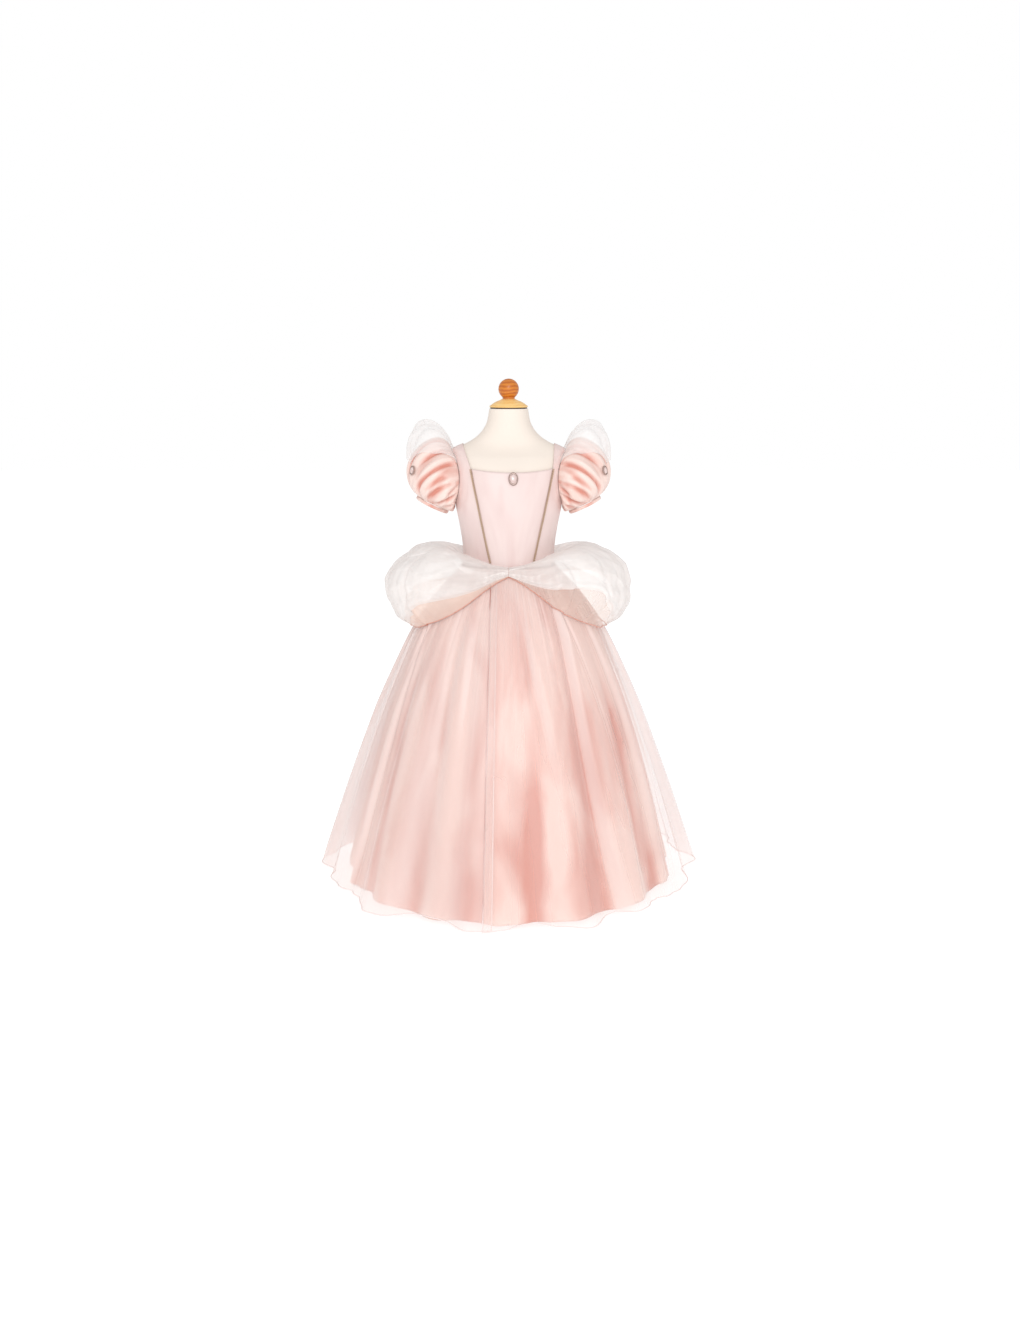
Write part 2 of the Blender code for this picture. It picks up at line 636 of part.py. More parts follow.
def armhole_ring(angle, out):
    """The armhole on the left of the bodice. Angle 0 is its top, and it turns towards the front."""
    middle = (UNDERARM_Z + SHOULDER_TIP_Z) / 2
    half = (SHOULDER_TIP_Z - UNDERARM_Z) / 2
    height = middle + half * np.cos(angle)
    depth = smooth_curve(FORM_SECTIONS, 2, height)
    azimuth = math.pi / 2 - np.arcsin(ARMHOLE_HALF_DEPTH * np.sin(angle) / depth)
    return torso(azimuth, height, out)


def cuff_ring(angle, grow=0.0, along=0.0, unit=False):
    """The cuff of the left sleeve, a ring tilted outwards, grown and moved along its own axis.
    unit gives the direction from its centre instead."""
    rise = np.array([math.sin(CUFF_TILT), 0.0, math.cos(CUFF_TILT)])
    axis = np.array([math.cos(CUFF_TILT), 0.0, -math.sin(CUFF_TILT)])
    forward = np.array([0.0, -1.0, 0.0])
    if unit:
        return np.cos(angle)[..., None] * rise + PUFF_FORWARD_SHARE * np.sin(angle)[..., None] * forward
    return (
        np.array(CUFF_CENTRE)
        + along * axis
        + ((CUFF_RADIUS + grow) * np.cos(angle))[..., None] * rise
        + ((CUFF_HALF_DEPTH + grow) * np.sin(angle))[..., None] * forward
    )


def puff(angle, along, gathered=True):
    """A point of the left sleeve's puff: at each angle a curve leaves the armhole outwards, swells
    and comes back to the cuff, fullest over the top of the arm and tight beneath it."""
    angle, along = np.broadcast_arrays(angle, along)
    root = armhole_ring(angle, BODICE_CLEARANCE + BODICE_WALL + ARMHOLE_GAP)
    end = cuff_ring(angle)
    full = PUFF_TIGHTNESS + (1 - PUFF_TIGHTNESS) * (0.5 + 0.5 * np.cos(angle)) ** 0.8
    full = full[..., None]
    spoke = np.stack([0 * angle, -PUFF_FORWARD_SHARE * np.sin(angle), np.cos(angle)], axis=-1)
    axis = np.array([math.cos(CUFF_TILT), 0.0, -math.sin(CUFF_TILT)])
    out, about = PUFF_FULLNESS_ROOT
    handle_a = root + full * (out * np.array([1.0, 0.0, 0.0]) + about * spoke)
    back, about = PUFF_FULLNESS_END
    handle_b = end + full * (about * cuff_ring(angle, unit=True) - back * axis)
    t = along[..., None]
    curve = (
        (1 - t) ** 3 * root
        + 3 * (1 - t) ** 2 * t * handle_a
        + 3 * (1 - t) * t**2 * handle_b
        + t**3 * end
    )
    if not gathered:
        return curve
    wave = np.cos(PUFF_GATHERS * angle + 0.9 * np.sin(2 * (angle - SLEEVE_BROOCH_AT[0])))
    swell = PUFF_GATHER_DEPTH * wave * np.sin(np.pi * along) ** 0.7 * full[..., 0] ** 0.3
    return curve + swell[..., None] * outward(angle, along)


def outward(angle, along):
    """The direction in which the puff's surface faces, leaving its gathers out."""
    step = 1e-3
    low, high = np.clip(along - step, 0, 1), np.clip(along + step, 0, 1)
    across = puff(angle + step, along, False) - puff(angle - step, along, False)
    down = puff(angle, high, False) - puff(angle, low, False)
    facing = np.cross(across, down)
    return facing / np.linalg.norm(facing, axis=-1, keepdims=True)


def crest(across, share):
    """A point of the white organza crest that stands over the top and back of the left puff:
    across runs from its back edge to its front edge, and share from the armhole outwards."""
    across, share = np.broadcast_arrays(across, share)
    along = CREST_SPAN[0] + (CREST_SPAN[1] - CREST_SPAN[0]) * share
    front = CREST_FRONT[0] + (CREST_FRONT[1] - CREST_FRONT[0]) * share
    angle = CREST_BACK + (front - CREST_BACK) * across
    reach = np.sin(np.pi * np.clip(across, 0, 1) ** 1.3) ** 0.7
    gathers = CREST_GATHER_DEPTH * np.cos(2 * np.pi * CREST_GATHERS * across)
    lift = np.sin(np.pi * np.clip(share, 0, 1) ** 1.1) ** 0.7
    base = ORGANZA_WALL + 3 * SEAM_GAP
    lean = CREST_LEAN[0] + (CREST_LEAN[1] - CREST_LEAN[0]) * share
    up = np.stack([lean, -CREST_FORWARD_SHARE * np.sin(angle), np.cos(angle)], axis=-1)
    raised = (lift * reach * (CREST_RISE + gathers))[..., None] * up
    return puff(angle, along) + base * outward(angle, along) + raised


def build_sleeves(parent):
    """Satin puffs with their cuff bands, and the organza crests over them."""
    angle = (np.arange(PUFF_COLUMNS) * 2 * math.pi / PUFF_COLUMNS)[None, :]
    along = np.linspace(0, 1, PUFF_ROWS)[:, None]
    left = puff(angle, along)
    cloth("sleeve_puff_left", left, ORGANZA_WALL, "sleeve_satin", parent, closed=True)
    cloth("sleeve_puff_right", mirrored(left), ORGANZA_WALL, "sleeve_satin", parent, closed=True)

    angle = (np.arange(24) * 2 * math.pi / 24)[None, :]
    along = np.linspace(SEAM_GAP + 0.0004, BAND_WIDTH, 2)
    band = np.concatenate([cuff_ring(angle, 0.0006, a) for a in along])
    cloth("cuff_band_left", band, BAND_THICKNESS, "sleeve_satin", parent, closed=True)
    cloth("cuff_band_right", mirrored(band), BAND_THICKNESS, "sleeve_satin", parent, closed=True)

    across = np.linspace(0, 1, CREST_COLUMNS)[None, :]
    left = crest(across, np.linspace(0, 1, CREST_ROWS)[:, None])
    cloth("sleeve_crest_left", left, ORGANZA_WALL, "white_organza", parent)
    cloth("sleeve_crest_right", mirrored(left), ORGANZA_WALL, "white_organza", parent)


def brooch(name, size, place, facing, parent):
    """An oval brooch: a beaded dish with a domed stone in it, its back at the place given."""
    half_width, half_height, thick = size
    stone = STONE_SHARE * half_height
    dish = thick * 0.5
    turn = facing.to_track_quat("Z", "Y")
    setting = turned(
        f"{name}_setting",
        (
            (0.0, dish),
            (stone + SEAM_GAP, dish),
            (stone + SEAM_GAP * 1.5, thick * 0.9),
            ((stone + half_height) / 2, thick * 1.25),
            (half_height * 0.97, thick * 0.85),
            (half_height, thick * 0.4),
            (half_height * 0.96, 0.0),
            (0.0, 0.0),
        ),
        "pewter",
        parent,
        BROOCH_SIDES,
    )
    arc = [i * math.pi / 2 / 4 for i in range(5)]
    dome = [(stone * math.sin(a), dish + SEAM_GAP + STONE_HEIGHT * math.cos(a)) for a in arc]
    pearl = turned(
        f"{name}_stone",
        (*dome, (0.0, dish + SEAM_GAP)),
        "pearl",
        parent,
        BROOCH_SIDES,
    )
    for obj in (setting, pearl):
        obj.location = place
        obj.rotation_mode = "QUATERNION"
        obj.rotation_quaternion = turn
        obj.scale = (half_width / half_height, 1.0, 1.0)


def build_brooches(parent):
    """One brooch under the neckline and one at the outer end of each sleeve."""
    out = BODICE_CLEARANCE + BODICE_WALL
    middle = np.array(BODICE_TURN)
    chest = torso(middle, BROOCH_Z, out + SEAM_GAP)
    facing = Vector(torso_facing(middle, BROOCH_Z))
    brooch("brooch_front", BROOCH_SIZE, chest, facing, parent)
    angle, along = np.array(SLEEVE_BROOCH_AT[0]), np.array(SLEEVE_BROOCH_AT[1])
    facing = outward(angle, along)
    place = Vector(puff(angle, along) + facing * SEAM_GAP)
    facing = Vector(facing)
    brooch("brooch_sleeve_left", SLEEVE_BROOCH_SIZE, place, facing, parent)
    place = Vector((-place.x, place.y, place.z))
    facing = Vector((-facing.x, facing.y, facing.z))
    brooch("brooch_sleeve_right", SLEEVE_BROOCH_SIZE, place, facing, parent)


def main():
    """Clears the scene and builds the form first, then the dress from the inside out."""
    for old in list(bpy.data.objects):
        bpy.data.objects.remove(old, do_unlink=True)
    collection = bpy.data.collections.new("princess_dress")
    bpy.context.scene.collection.children.link(collection)
    stand = group("dress_form")
    build_form(stand)
    build_stand(stand)
    dress = group("dress")
    build_bodice(dress)
    build_skirt(dress)
    build_panniers(dress)
    build_sleeves(dress)
    build_brooches(dress)


main()
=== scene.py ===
"""A child's princess costume dress in pale pink satin and organza, on its dress form.

Metres, +Z up, the dress faces -Y and the wearer's left is +X. An azimuth is measured round +Z
from the front, towards the wearer's left. Sections follow the object as it is put together.
"""

import math

import bpy
import numpy as np
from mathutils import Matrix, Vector


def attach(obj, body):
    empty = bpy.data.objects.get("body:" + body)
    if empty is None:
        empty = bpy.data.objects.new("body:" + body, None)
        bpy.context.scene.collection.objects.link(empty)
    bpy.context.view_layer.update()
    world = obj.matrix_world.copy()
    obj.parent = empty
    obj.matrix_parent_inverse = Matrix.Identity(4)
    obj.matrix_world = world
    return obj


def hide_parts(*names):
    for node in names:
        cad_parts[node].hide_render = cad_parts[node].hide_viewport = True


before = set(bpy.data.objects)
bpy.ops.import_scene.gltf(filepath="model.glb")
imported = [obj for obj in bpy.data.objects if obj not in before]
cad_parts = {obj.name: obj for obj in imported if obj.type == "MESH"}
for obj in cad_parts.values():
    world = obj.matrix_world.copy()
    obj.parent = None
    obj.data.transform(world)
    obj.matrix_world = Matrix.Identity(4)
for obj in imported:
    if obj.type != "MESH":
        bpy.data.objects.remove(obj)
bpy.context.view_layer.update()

# ---- Padded torso of the dress form ----
# A small limbless torso of papier mache under wadding, smooth and slightly tapered to a narrow
# neck. It is covered in a cream cotton jersey, pulled tight and tacked under the neck cap.

TORSO_SECTIONS = (
    # height, half_width, half_depth, back_shift
    (0.462, 0.1080, 0.0880, 0.004),
    (0.480, 0.1120, 0.0910, 0.004),
    (0.540, 0.1080, 0.0870, 0.004),
    (0.600, 0.0920, 0.0760, 0.002),
    (0.645, 0.0865, 0.0705, 0.000),
    (0.700, 0.0930, 0.0750, -0.003),
    (0.742, 0.1010, 0.0800, -0.004),
    (0.780, 0.1060, 0.0800, -0.003),
    (0.815, 0.1110, 0.0740, 0.000),
    (0.838, 0.1135, 0.0620, 0.002),
    (0.8485, 0.1120, 0.0520, 0.003),
    (0.8555, 0.1010, 0.0460, 0.003),
    (0.8640, 0.0820, 0.0420, 0.003),
    (0.8760, 0.0630, 0.0400, 0.002),
    (0.8900, 0.0500, 0.0390, 0.001),
    (0.9060, 0.0420, 0.0380, 0.000),
    (0.9300, 0.0375, 0.0365, 0.000),
)


def smooth_curve(rows, column, at):
    """The table's column at the places asked for: a cubic between neighbouring rows whose slope at
    each row is the harmonic mean of the slopes on its two sides, so that it never overshoots."""
    table = np.array(rows, float)
    x, y = table[:, 0], table[:, column]
    step, slope = np.diff(x), np.diff(y) / np.diff(x)
    same_way = slope[:-1] * slope[1:] > 0
    total = np.where(same_way, slope[:-1] + slope[1:], 1.0)
    tangent = np.zeros(len(x))
    tangent[1:-1] = np.where(same_way, 2 * slope[:-1] * slope[1:] / total, 0.0)
    tangent[0], tangent[-1] = slope[0], slope[-1]
    at = np.clip(np.asarray(at, float), x[0], x[-1])
    k = np.clip(np.searchsorted(x, at) - 1, 0, len(x) - 2)
    t = (at - x[k]) / step[k]
    start = y[k] * (1 + 2 * t) * (1 - t) ** 2 + tangent[k] * step[k] * t * (1 - t) ** 2
    end = y[k + 1] * t**2 * (3 - 2 * t) + tangent[k + 1] * step[k] * t**2 * (t - 1)
    return start + end


def stacked(x, y, z):
    """Coordinates joined into points, each repeated to the shape of all three together."""
    return np.stack(np.broadcast_arrays(x, y, z), axis=-1)


def circle(sides):
    """One row of angles, evenly round a full turn."""
    return (np.arange(sides) * 2 * math.pi / sides)[None, :]


def skin(azimuth, height):
    """The torso's surface: an oval with half axes and a shift back that follow the table."""
    x = smooth_curve(TORSO_SECTIONS, 1, height) * np.sin(azimuth)
    depth = smooth_curve(TORSO_SECTIONS, 2, height)
    y = smooth_curve(TORSO_SECTIONS, 3, height) - depth * np.cos(azimuth)
    return stacked(x, y, np.asarray(height, float))


def in_scene(name, data):
    """A new object that shows the data, linked into the scene."""
    made = bpy.data.objects.new(name, data)
    bpy.context.scene.collection.objects.link(made)
    return made


def surface(name, points, closed=False, caps=False, kept=None, sharp=None, **by_point):
    """Joins an array of points, rows by columns by xyz, with quads. closed joins the last column
    to the first, caps closes the first and last rows, and kept says which cells have cloth. Its
    UV map is in metres: u is the length along the longest row, and v down the middle column.
    Any other argument is a value for each point, kept as an attribute of that name."""
    rows, columns = points.shape[:2]
    index = np.arange(rows * columns).reshape(rows, columns)
    here = index if closed else index[:, :-1]
    cells = here.shape[1]
    after = np.roll(index, -1, axis=1)[:, :cells]
    quads = np.stack([here[:-1], after[:-1], after[1:], here[1:]], axis=-1)
    lengths = np.linalg.norm((np.roll(points, -1, axis=1) - points)[:, :cells], axis=-1)
    u = np.append(0, np.cumsum(lengths[np.argmax(lengths.sum(axis=1))]))
    v = np.append(0, np.cumsum(np.linalg.norm(np.diff(points[:, columns // 2], axis=0), axis=-1)))
    u_cell = np.stack([u[:-1], u[1:], u[1:], u[:-1]], axis=-1)[None]
    v_cell = np.stack([v[:-1], v[:-1], v[1:], v[1:]], axis=-1)[:, None]
    uv = np.stack(np.broadcast_arrays(u_cell, v_cell), axis=-1)
    if kept is not None:
        quads, uv = quads[kept], uv[kept]
    faces, uv = quads.reshape(-1, 4).tolist(), uv.reshape(-1, 2)
    if caps:
        faces += [index[0, ::-1].tolist(), index[-1].tolist()]
        uv = np.concatenate([uv, np.zeros((2 * columns, 2))])
    used, corners = np.unique(np.concatenate([np.ravel(f) for f in faces]), return_inverse=True)
    ends = np.cumsum([len(f) for f in faces])[:-1]
    mesh = bpy.data.meshes.new(name)
    vertices = points.reshape(-1, 3)[used]
    mesh.from_pydata(vertices.tolist(), [], [f.tolist() for f in np.split(corners, ends)])
    mesh.uv_layers.new(name="cloth").data.foreach_set("uv", uv.astype(np.float32).ravel())
    for label, values in by_point.items():
        values = np.broadcast_to(values, (rows, columns)).reshape(-1)[used].astype(np.float32)
        mesh.attributes.new(label, "FLOAT", "POINT").data.foreach_set("value", values)
    mesh.shade_smooth()
    if sharp is not None:
        mesh.set_sharp_from_angle(angle=math.radians(sharp))
    return in_scene(name, mesh)


def linear(hex_colour):
    """An sRGB hex colour as linear red, green, blue and a full alpha."""
    values = [int(hex_colour[i : i + 2], 16) / 255 for i in (1, 3, 5)]
    return [v / 12.92 if v <= 0.04045 else ((v + 0.055) / 1.055) ** 2.4 for v in values] + [1.0]


def add(tree, kind, inputs=None, **settings):
    """Adds a node: settings are its own properties, and inputs are values or sockets to link."""
    made = tree.nodes.new("ShaderNode" + kind)
    for key, value in settings.items():
        setattr(made, key, value)
    for key, value in (inputs or {}).items():
        if isinstance(value, bpy.types.NodeSocket):
            tree.links.new(value, made.inputs[key])
        else:
            made.inputs[key].default_value = value
    return made


def material(name, inputs):
    """A material with one Principled shader, whose inputs are given. Returns all three."""
    made = bpy.data.materials.new(name)
    made.use_nodes = True
    tree = made.node_tree
    tree.nodes.clear()
    shader = add(tree, "BsdfPrincipled", inputs)
    add(tree, "OutputMaterial", {"Surface": shader.outputs[0]})
    return made, tree, shader


def finish_piece(piece, made_of, slot, *nodes):
    """Gives a piece its material, ties it to the part and hides the solids that it stands for."""
    piece.data.materials.append(made_of)
    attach(piece, "root")
    if nodes:
        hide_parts(*nodes)
    return piece


# Cotton jersey: matt, with a faint knit. Its wales are 1 mm apart, drawn at 2 mm to show at all.
jersey, tree, shader = material("cotton_jersey", {"Roughness": 0.85, "Sheen Weight": 0.15})
place = add(tree, "TexCoord").outputs["Object"]
knit = add(tree, "TexNoise", {"Vector": place, "Scale": 1 / 0.002, "Detail": 2.0})
mottle = add(tree, "TexNoise", {"Vector": place, "Scale": 1 / 0.06, "Detail": 1.0})
tint = add(tree, "ValToRGB", {"Fac": mottle.outputs["Fac"]})
tint.color_ramp.elements[0].color = linear("#EFE3D8")
tint.color_ramp.elements[1].color = linear("#F3E8DD")
tree.links.new(tint.outputs["Color"], shader.inputs["Base Color"])
relief = add(tree, "Bump", {"Height": knit.outputs["Fac"], "Strength": 0.15, "Distance": 0.0004})
tree.links.new(relief.outputs["Normal"], shader.inputs["Normal"])

heights = np.linspace(TORSO_SECTIONS[0][0], TORSO_SECTIONS[-1][0], 150)[:, None]
torso_cover = surface("torso_cover", skin(circle(96), heights), closed=True, caps=True, sharp=60)
finish_piece(torso_cover, jersey, "jersey", "form_torso")

# ---- Neck cap, ball and stand of the dress form ----
# The neck is closed by a shallow turned cap of varnished maple, and on it stands a ball turned
# from a redder wood. The pole and the round base hide inside the skirt and are built plainly.

NECK_TOP = 0.9304
CAP_RADIUS = 0.0375
CAP_HEIGHT = 0.018
BALL_RADIUS = 0.0198
BALL_NECK_RADIUS = 0.012
BASE_RADIUS = 0.150
BASE_THICKNESS = 0.022
POLE_RADIUS = 0.011
POLE_ENDS = (0.0424, 0.4616)
FOOT_TOP = NECK_TOP + 0.0021  # the cap's foot, painted dark as shade, ends here


def spun(profile, sides):
    """The points of radius and height pairs, upwards along a side, spun round +Z."""
    profile = np.array(profile, float)
    radius, height, angle = profile[:, :1], profile[:, 1:], circle(sides)
    return stacked(radius * np.sin(angle), -radius * np.cos(angle), height)


def turned(name, profile, sides=72, sharp=40):
    """A turned piece: its profile spun round +Z and closed at both ends."""
    return surface(name, spun(profile, sides), closed=True, caps=True, sharp=sharp)


def wave_scale(period):
    """The Scale at which a wave texture repeats after so many metres: it counts in 20ths."""
    return 2 * math.pi / 20 / period


def wood(name, light, dark, roughness, ring):
    """Varnished wood: rings of two tones round the turning axis, as far apart as ring says."""
    varnish = {"Roughness": roughness, "Coat Weight": 0.2, "Coat Roughness": 0.12}
    made, tree, shader = material(name, varnish)
    place = add(tree, "TexCoord").outputs["Object"]
    rings = add(
        tree,
        "TexWave",
        {"Vector": place, "Scale": wave_scale(ring), "Distortion": 4.0, "Detail": 2.0},
        wave_type="RINGS",
        rings_direction="X",
    )
    tones = add(tree, "ValToRGB", {"Fac": rings.outputs["Fac"]})
    tones.color_ramp.elements[0].color = linear(dark)
    tones.color_ramp.elements[1].color = linear(light)
    tree.links.new(tones.outputs["Color"], shader.inputs["Base Color"])
    return made


# A thin clear varnish over pale maple, and over a red-brown ball, gives each a small highlight.
maple = wood("varnished_maple", "#FFD68A", "#F9C678", 0.45, 0.006)
cherry = wood("varnished_cherry", "#DB8426", "#BC6210", 0.45, 0.007)
brushed = {"Base Color": linear("#A9ACB0"), "Metallic": 1.0, "Roughness": 0.35}
steel, _, _ = material("brushed_steel", brushed)

cap_top = NECK_TOP + CAP_HEIGHT
cap_profile = (
    (CAP_RADIUS * 0.955, NECK_TOP),
    (CAP_RADIUS * 0.950, NECK_TOP + 0.0020),
    (CAP_RADIUS * 0.985, NECK_TOP + 0.0023),
    (CAP_RADIUS, NECK_TOP + 0.0031),
    (CAP_RADIUS * 0.995, NECK_TOP + 0.0042),
    (CAP_RADIUS * 0.97, NECK_TOP + 0.0052),
    (CAP_RADIUS * 0.90, NECK_TOP + 0.0070),
    (CAP_RADIUS * 0.80, cap_top - CAP_HEIGHT * 0.45),
    (CAP_RADIUS * 0.65, cap_top - CAP_HEIGHT * 0.28),
    (CAP_RADIUS * 0.50, cap_top - CAP_HEIGHT * 0.16),
    (CAP_RADIUS * 0.40, cap_top - CAP_HEIGHT * 0.06),
    (BALL_NECK_RADIUS * 1.12, cap_top - 0.0002),
    (BALL_NECK_RADIUS * 1.05, cap_top),
)
neck_cap = finish_piece(turned("neck_cap", cap_profile), maple, "maple", "form_neck_cap")

# The cap's foot is turned in by 2 mm and painted dark brown as shade, which draws a line under it.
painted_shade_foot = wood("maple_painted_shade", "#4A2F1C", "#3A2315", 0.6, 0.006)
neck_cap.data.materials.append(painted_shade_foot)
for face in neck_cap.data.polygons:
    face.material_index = int(face.center.z < FOOT_TOP)

ball_foot = cap_top + 0.0004
lowest = math.asin(BALL_NECK_RADIUS / BALL_RADIUS)
ball_centre = ball_foot + 0.003 + BALL_RADIUS * math.cos(lowest)
fall = np.linspace(math.pi - lowest, 0.02, 40)
ball_profile = [(BALL_NECK_RADIUS, ball_foot)]
ball_profile += [(BALL_RADIUS * math.sin(a), ball_centre + BALL_RADIUS * math.cos(a)) for a in fall]
finish_piece(turned("neck_ball", ball_profile, sharp=30), cherry, "cherry_wood", "form_finial_ball")

pole_profile = [(POLE_RADIUS, end) for end in POLE_ENDS]
finish_piece(turned("stand_pole", pole_profile, sides=40), steel, "steel", "form_pole")
base_profile = (
    (BASE_RADIUS - 0.0025, 0.0),
    (BASE_RADIUS, 0.0025),
    (BASE_RADIUS, BASE_THICKNESS - 0.008),
    (BASE_RADIUS - 0.005, BASE_THICKNESS - 0.0025),
    (0.039, BASE_THICKNESS),
    (0.029, BASE_THICKNESS + 0.005),
    (0.024, BASE_THICKNESS + 0.020),
)
finish_piece(turned("stand_base", base_profile, sides=96), maple, "maple", "form_base")

# ---- Satin bodice ----
# Five lined satin panels: a centre front between two slanting seams, side fronts that run up
# into the shoulder straps, and two backs. They are cut flat to the body and seamed together.

WAIST_Z = 0.625
NECKLINE_Z = 0.8165
NECKLINE_SCOOP = 0.006
UNDERARM_Z = 0.748
SHOULDER_TIP_Z = 0.851
SEAM_GAP = 0.0004
HALF_GAP_ANGLE = SEAM_GAP / 2 / 0.085
BODICE_OUT = 0.0028  # from the torso to the satin's outer face
BODICE_WALL = 0.0010
SEAM_AT_WAIST_X = 0.038
SEAM_AT_NECKLINE_X = 0.078
STRAP_AT_SHOULDER_X = 0.0885
SHOULDER_TIP_X = 0.1110
ARMHOLE_HALF_DEPTH = 0.040
ARMHOLE_HALF_HEIGHT = (SHOULDER_TIP_Z - UNDERARM_Z) / 2
ARMHOLE_MIDDLE_Z = (UNDERARM_Z + SHOULDER_TIP_Z) / 2
BODY_ROWS = np.linspace(WAIST_Z + SEAM_GAP, NECKLINE_Z, 56)
STRAP_ROWS = 24
PLACKET_WIDTH = 0.018
PLACKET_WALL = 0.0011
PLACKET_OUT = BODICE_OUT + 0.0016
BODICE_TURN = math.radians(4.5)  # the front sits turned a little, to the wearer's left
EASE_DEPTH = 0.00013


def facing(azimuth, height):
    """The direction in which the torso's surface faces: around crossed with up."""
    step = 1e-4
    along = skin(azimuth + step, height) - skin(azimuth - step, height)
    up = skin(azimuth, height + step) - skin(azimuth, height - step)
    normal = np.cross(along, up)
    return normal / np.linalg.norm(normal, axis=-1, keepdims=True)


def torso(azimuth, height, out):
    """The point straight out from the torso's surface by a distance."""
    out = np.asarray(out, float)
    return skin(azimuth, height) + out[..., None] * facing(azimuth, height)


def torso_azimuth(x, height):
    """The azimuth at which the torso is x metres from its middle plane."""
    return np.arcsin(np.clip(np.asarray(x) / smooth_curve(TORSO_SECTIONS, 1, height), -1.0, 1.0))


def shoulder_height(x):
    """The height at which the torso narrows above the chest to x metres."""
    up = np.linspace(0.842, 0.900, 400)
    return float(np.interp(-x, -smooth_curve(TORSO_SECTIONS, 1, up), up))


def seam_x(height):
    """The front seam's distance from the middle: a straight line up to the neckline, and another
    along the strap's inner edge to the shoulder."""
    rising = (np.asarray(height, float) - WAIST_Z) / (NECKLINE_Z - WAIST_Z)
    below = SEAM_AT_WAIST_X + (SEAM_AT_NECKLINE_X - SEAM_AT_WAIST_X) * rising
    over = (height - NECKLINE_Z) / (shoulder_height(STRAP_AT_SHOULDER_X) - NECKLINE_Z)
    above = SEAM_AT_NECKLINE_X + (STRAP_AT_SHOULDER_X - SEAM_AT_NECKLINE_X) * np.clip(over, 0, 1)
    return np.where(rising <= 1, below, above)


def armhole_reach(height):
    """The armhole's half depth at a height: an ellipse from the underarm to the shoulder tip."""
    up = (np.asarray(height) - ARMHOLE_MIDDLE_Z) / ARMHOLE_HALF_HEIGHT
    return ARMHOLE_HALF_DEPTH * np.sqrt(np.clip(1 - up**2, 0, 1))


def scooped(height, across):
    """Rows that dip towards the middle by a parabola, fully at the neckline."""
    rising = np.clip((height - WAIST_Z) / (NECKLINE_Z - WAIST_Z), 0, 1)
    return height - NECKLINE_SCOOP * (1 - across**2) * rising


def side_panel(inner_inset=0.0, turn=0.0, columns=36):
    """Azimuths and heights of the left side panel with its strap: each row is a straight share of
    the way from the seam to the armhole's edge, and the last lies along the shoulder. turn moves
    the seam round the body, and fades out up the strap."""
    top_in = shoulder_height(STRAP_AT_SHOULDER_X)
    top_out = shoulder_height(SHOULDER_TIP_X)
    rest = np.linspace(1, 0, STRAP_ROWS + 1)[1:]
    z_in = np.concatenate([BODY_ROWS, top_in - (top_in - NECKLINE_Z) * rest**1.7])
    share = (z_in - z_in[0]) / (z_in[-1] - z_in[0])
    z_out = z_in[0] + (top_out - z_in[0]) * share
    up_strap = np.clip((z_in - NECKLINE_Z) / (top_in - NECKLINE_Z), 0, 1)
    inner = torso_azimuth(seam_x(z_in) + inner_inset, z_in) + turn * (1 - up_strap)
    depth = smooth_curve(TORSO_SECTIONS, 2, z_out)
    side_gap = SEAM_GAP * np.linspace(0.6, 1.6, len(depth)) / depth
    outer = np.pi / 2 - side_gap - np.arcsin(np.clip(armhole_reach(z_out) / depth, 0, 1))
    inner[-1] = outer[-1] = np.pi / 2 - side_gap[-1]
    across = np.linspace(0, 1, columns)[None, :]
    return (
        inner[:, None] + (outer - inner)[:, None] * across,
        z_in[:, None] + (z_out - z_in)[:, None] * across,
    )


def ease(azimuth, height):
    """The satin's slight looseness: three slow waves that cross, under half a millimetre in all."""
    up = (height - WAIST_Z) / 0.1
    pull = np.cos(9 * azimuth + 3 * up) + np.cos(17 * azimuth - 5 * up + 1)
    return EASE_DEPTH * (pull + np.cos(23 * azimuth + 9 * up))


FLIP = np.array([-1.0, 1.0, 1.0])


def on_side(side, grid):
    """A grid of points or values, drawn for the left, as it is or turned over for the right: points
    change sides, and the columns run the other way, so that the cloth still faces out."""
    if side == "left":
        return grid
    if grid.ndim == 3:
        grid = grid * FLIP
    return grid[:, ::-1]


def wall(piece, thickness, grow=-1.0):
    """Gives an open surface its thickness, inwards from its outer face unless told otherwise."""
    shell = piece.modifiers.new("cloth_wall", "SOLIDIFY")
    shell.thickness = thickness
    shell.offset = grow
    return piece


def streaks(tree, size, detail, distortion):
    """The cloth's UV map, and soft streaks along it of a size in metres, across and down."""
    cloth = add(tree, "TexCoord").outputs["UV"]
    drawn = add(tree, "Mapping", {"Vector": cloth, "Scale": (1 / size[0], 1 / size[1], 1.0)})
    flow = {"Vector": drawn.outputs[0], "Scale": 1.0, "Detail": detail, "Distortion": distortion}
    return cloth, add(tree, "TexNoise", flow).outputs["Fac"]
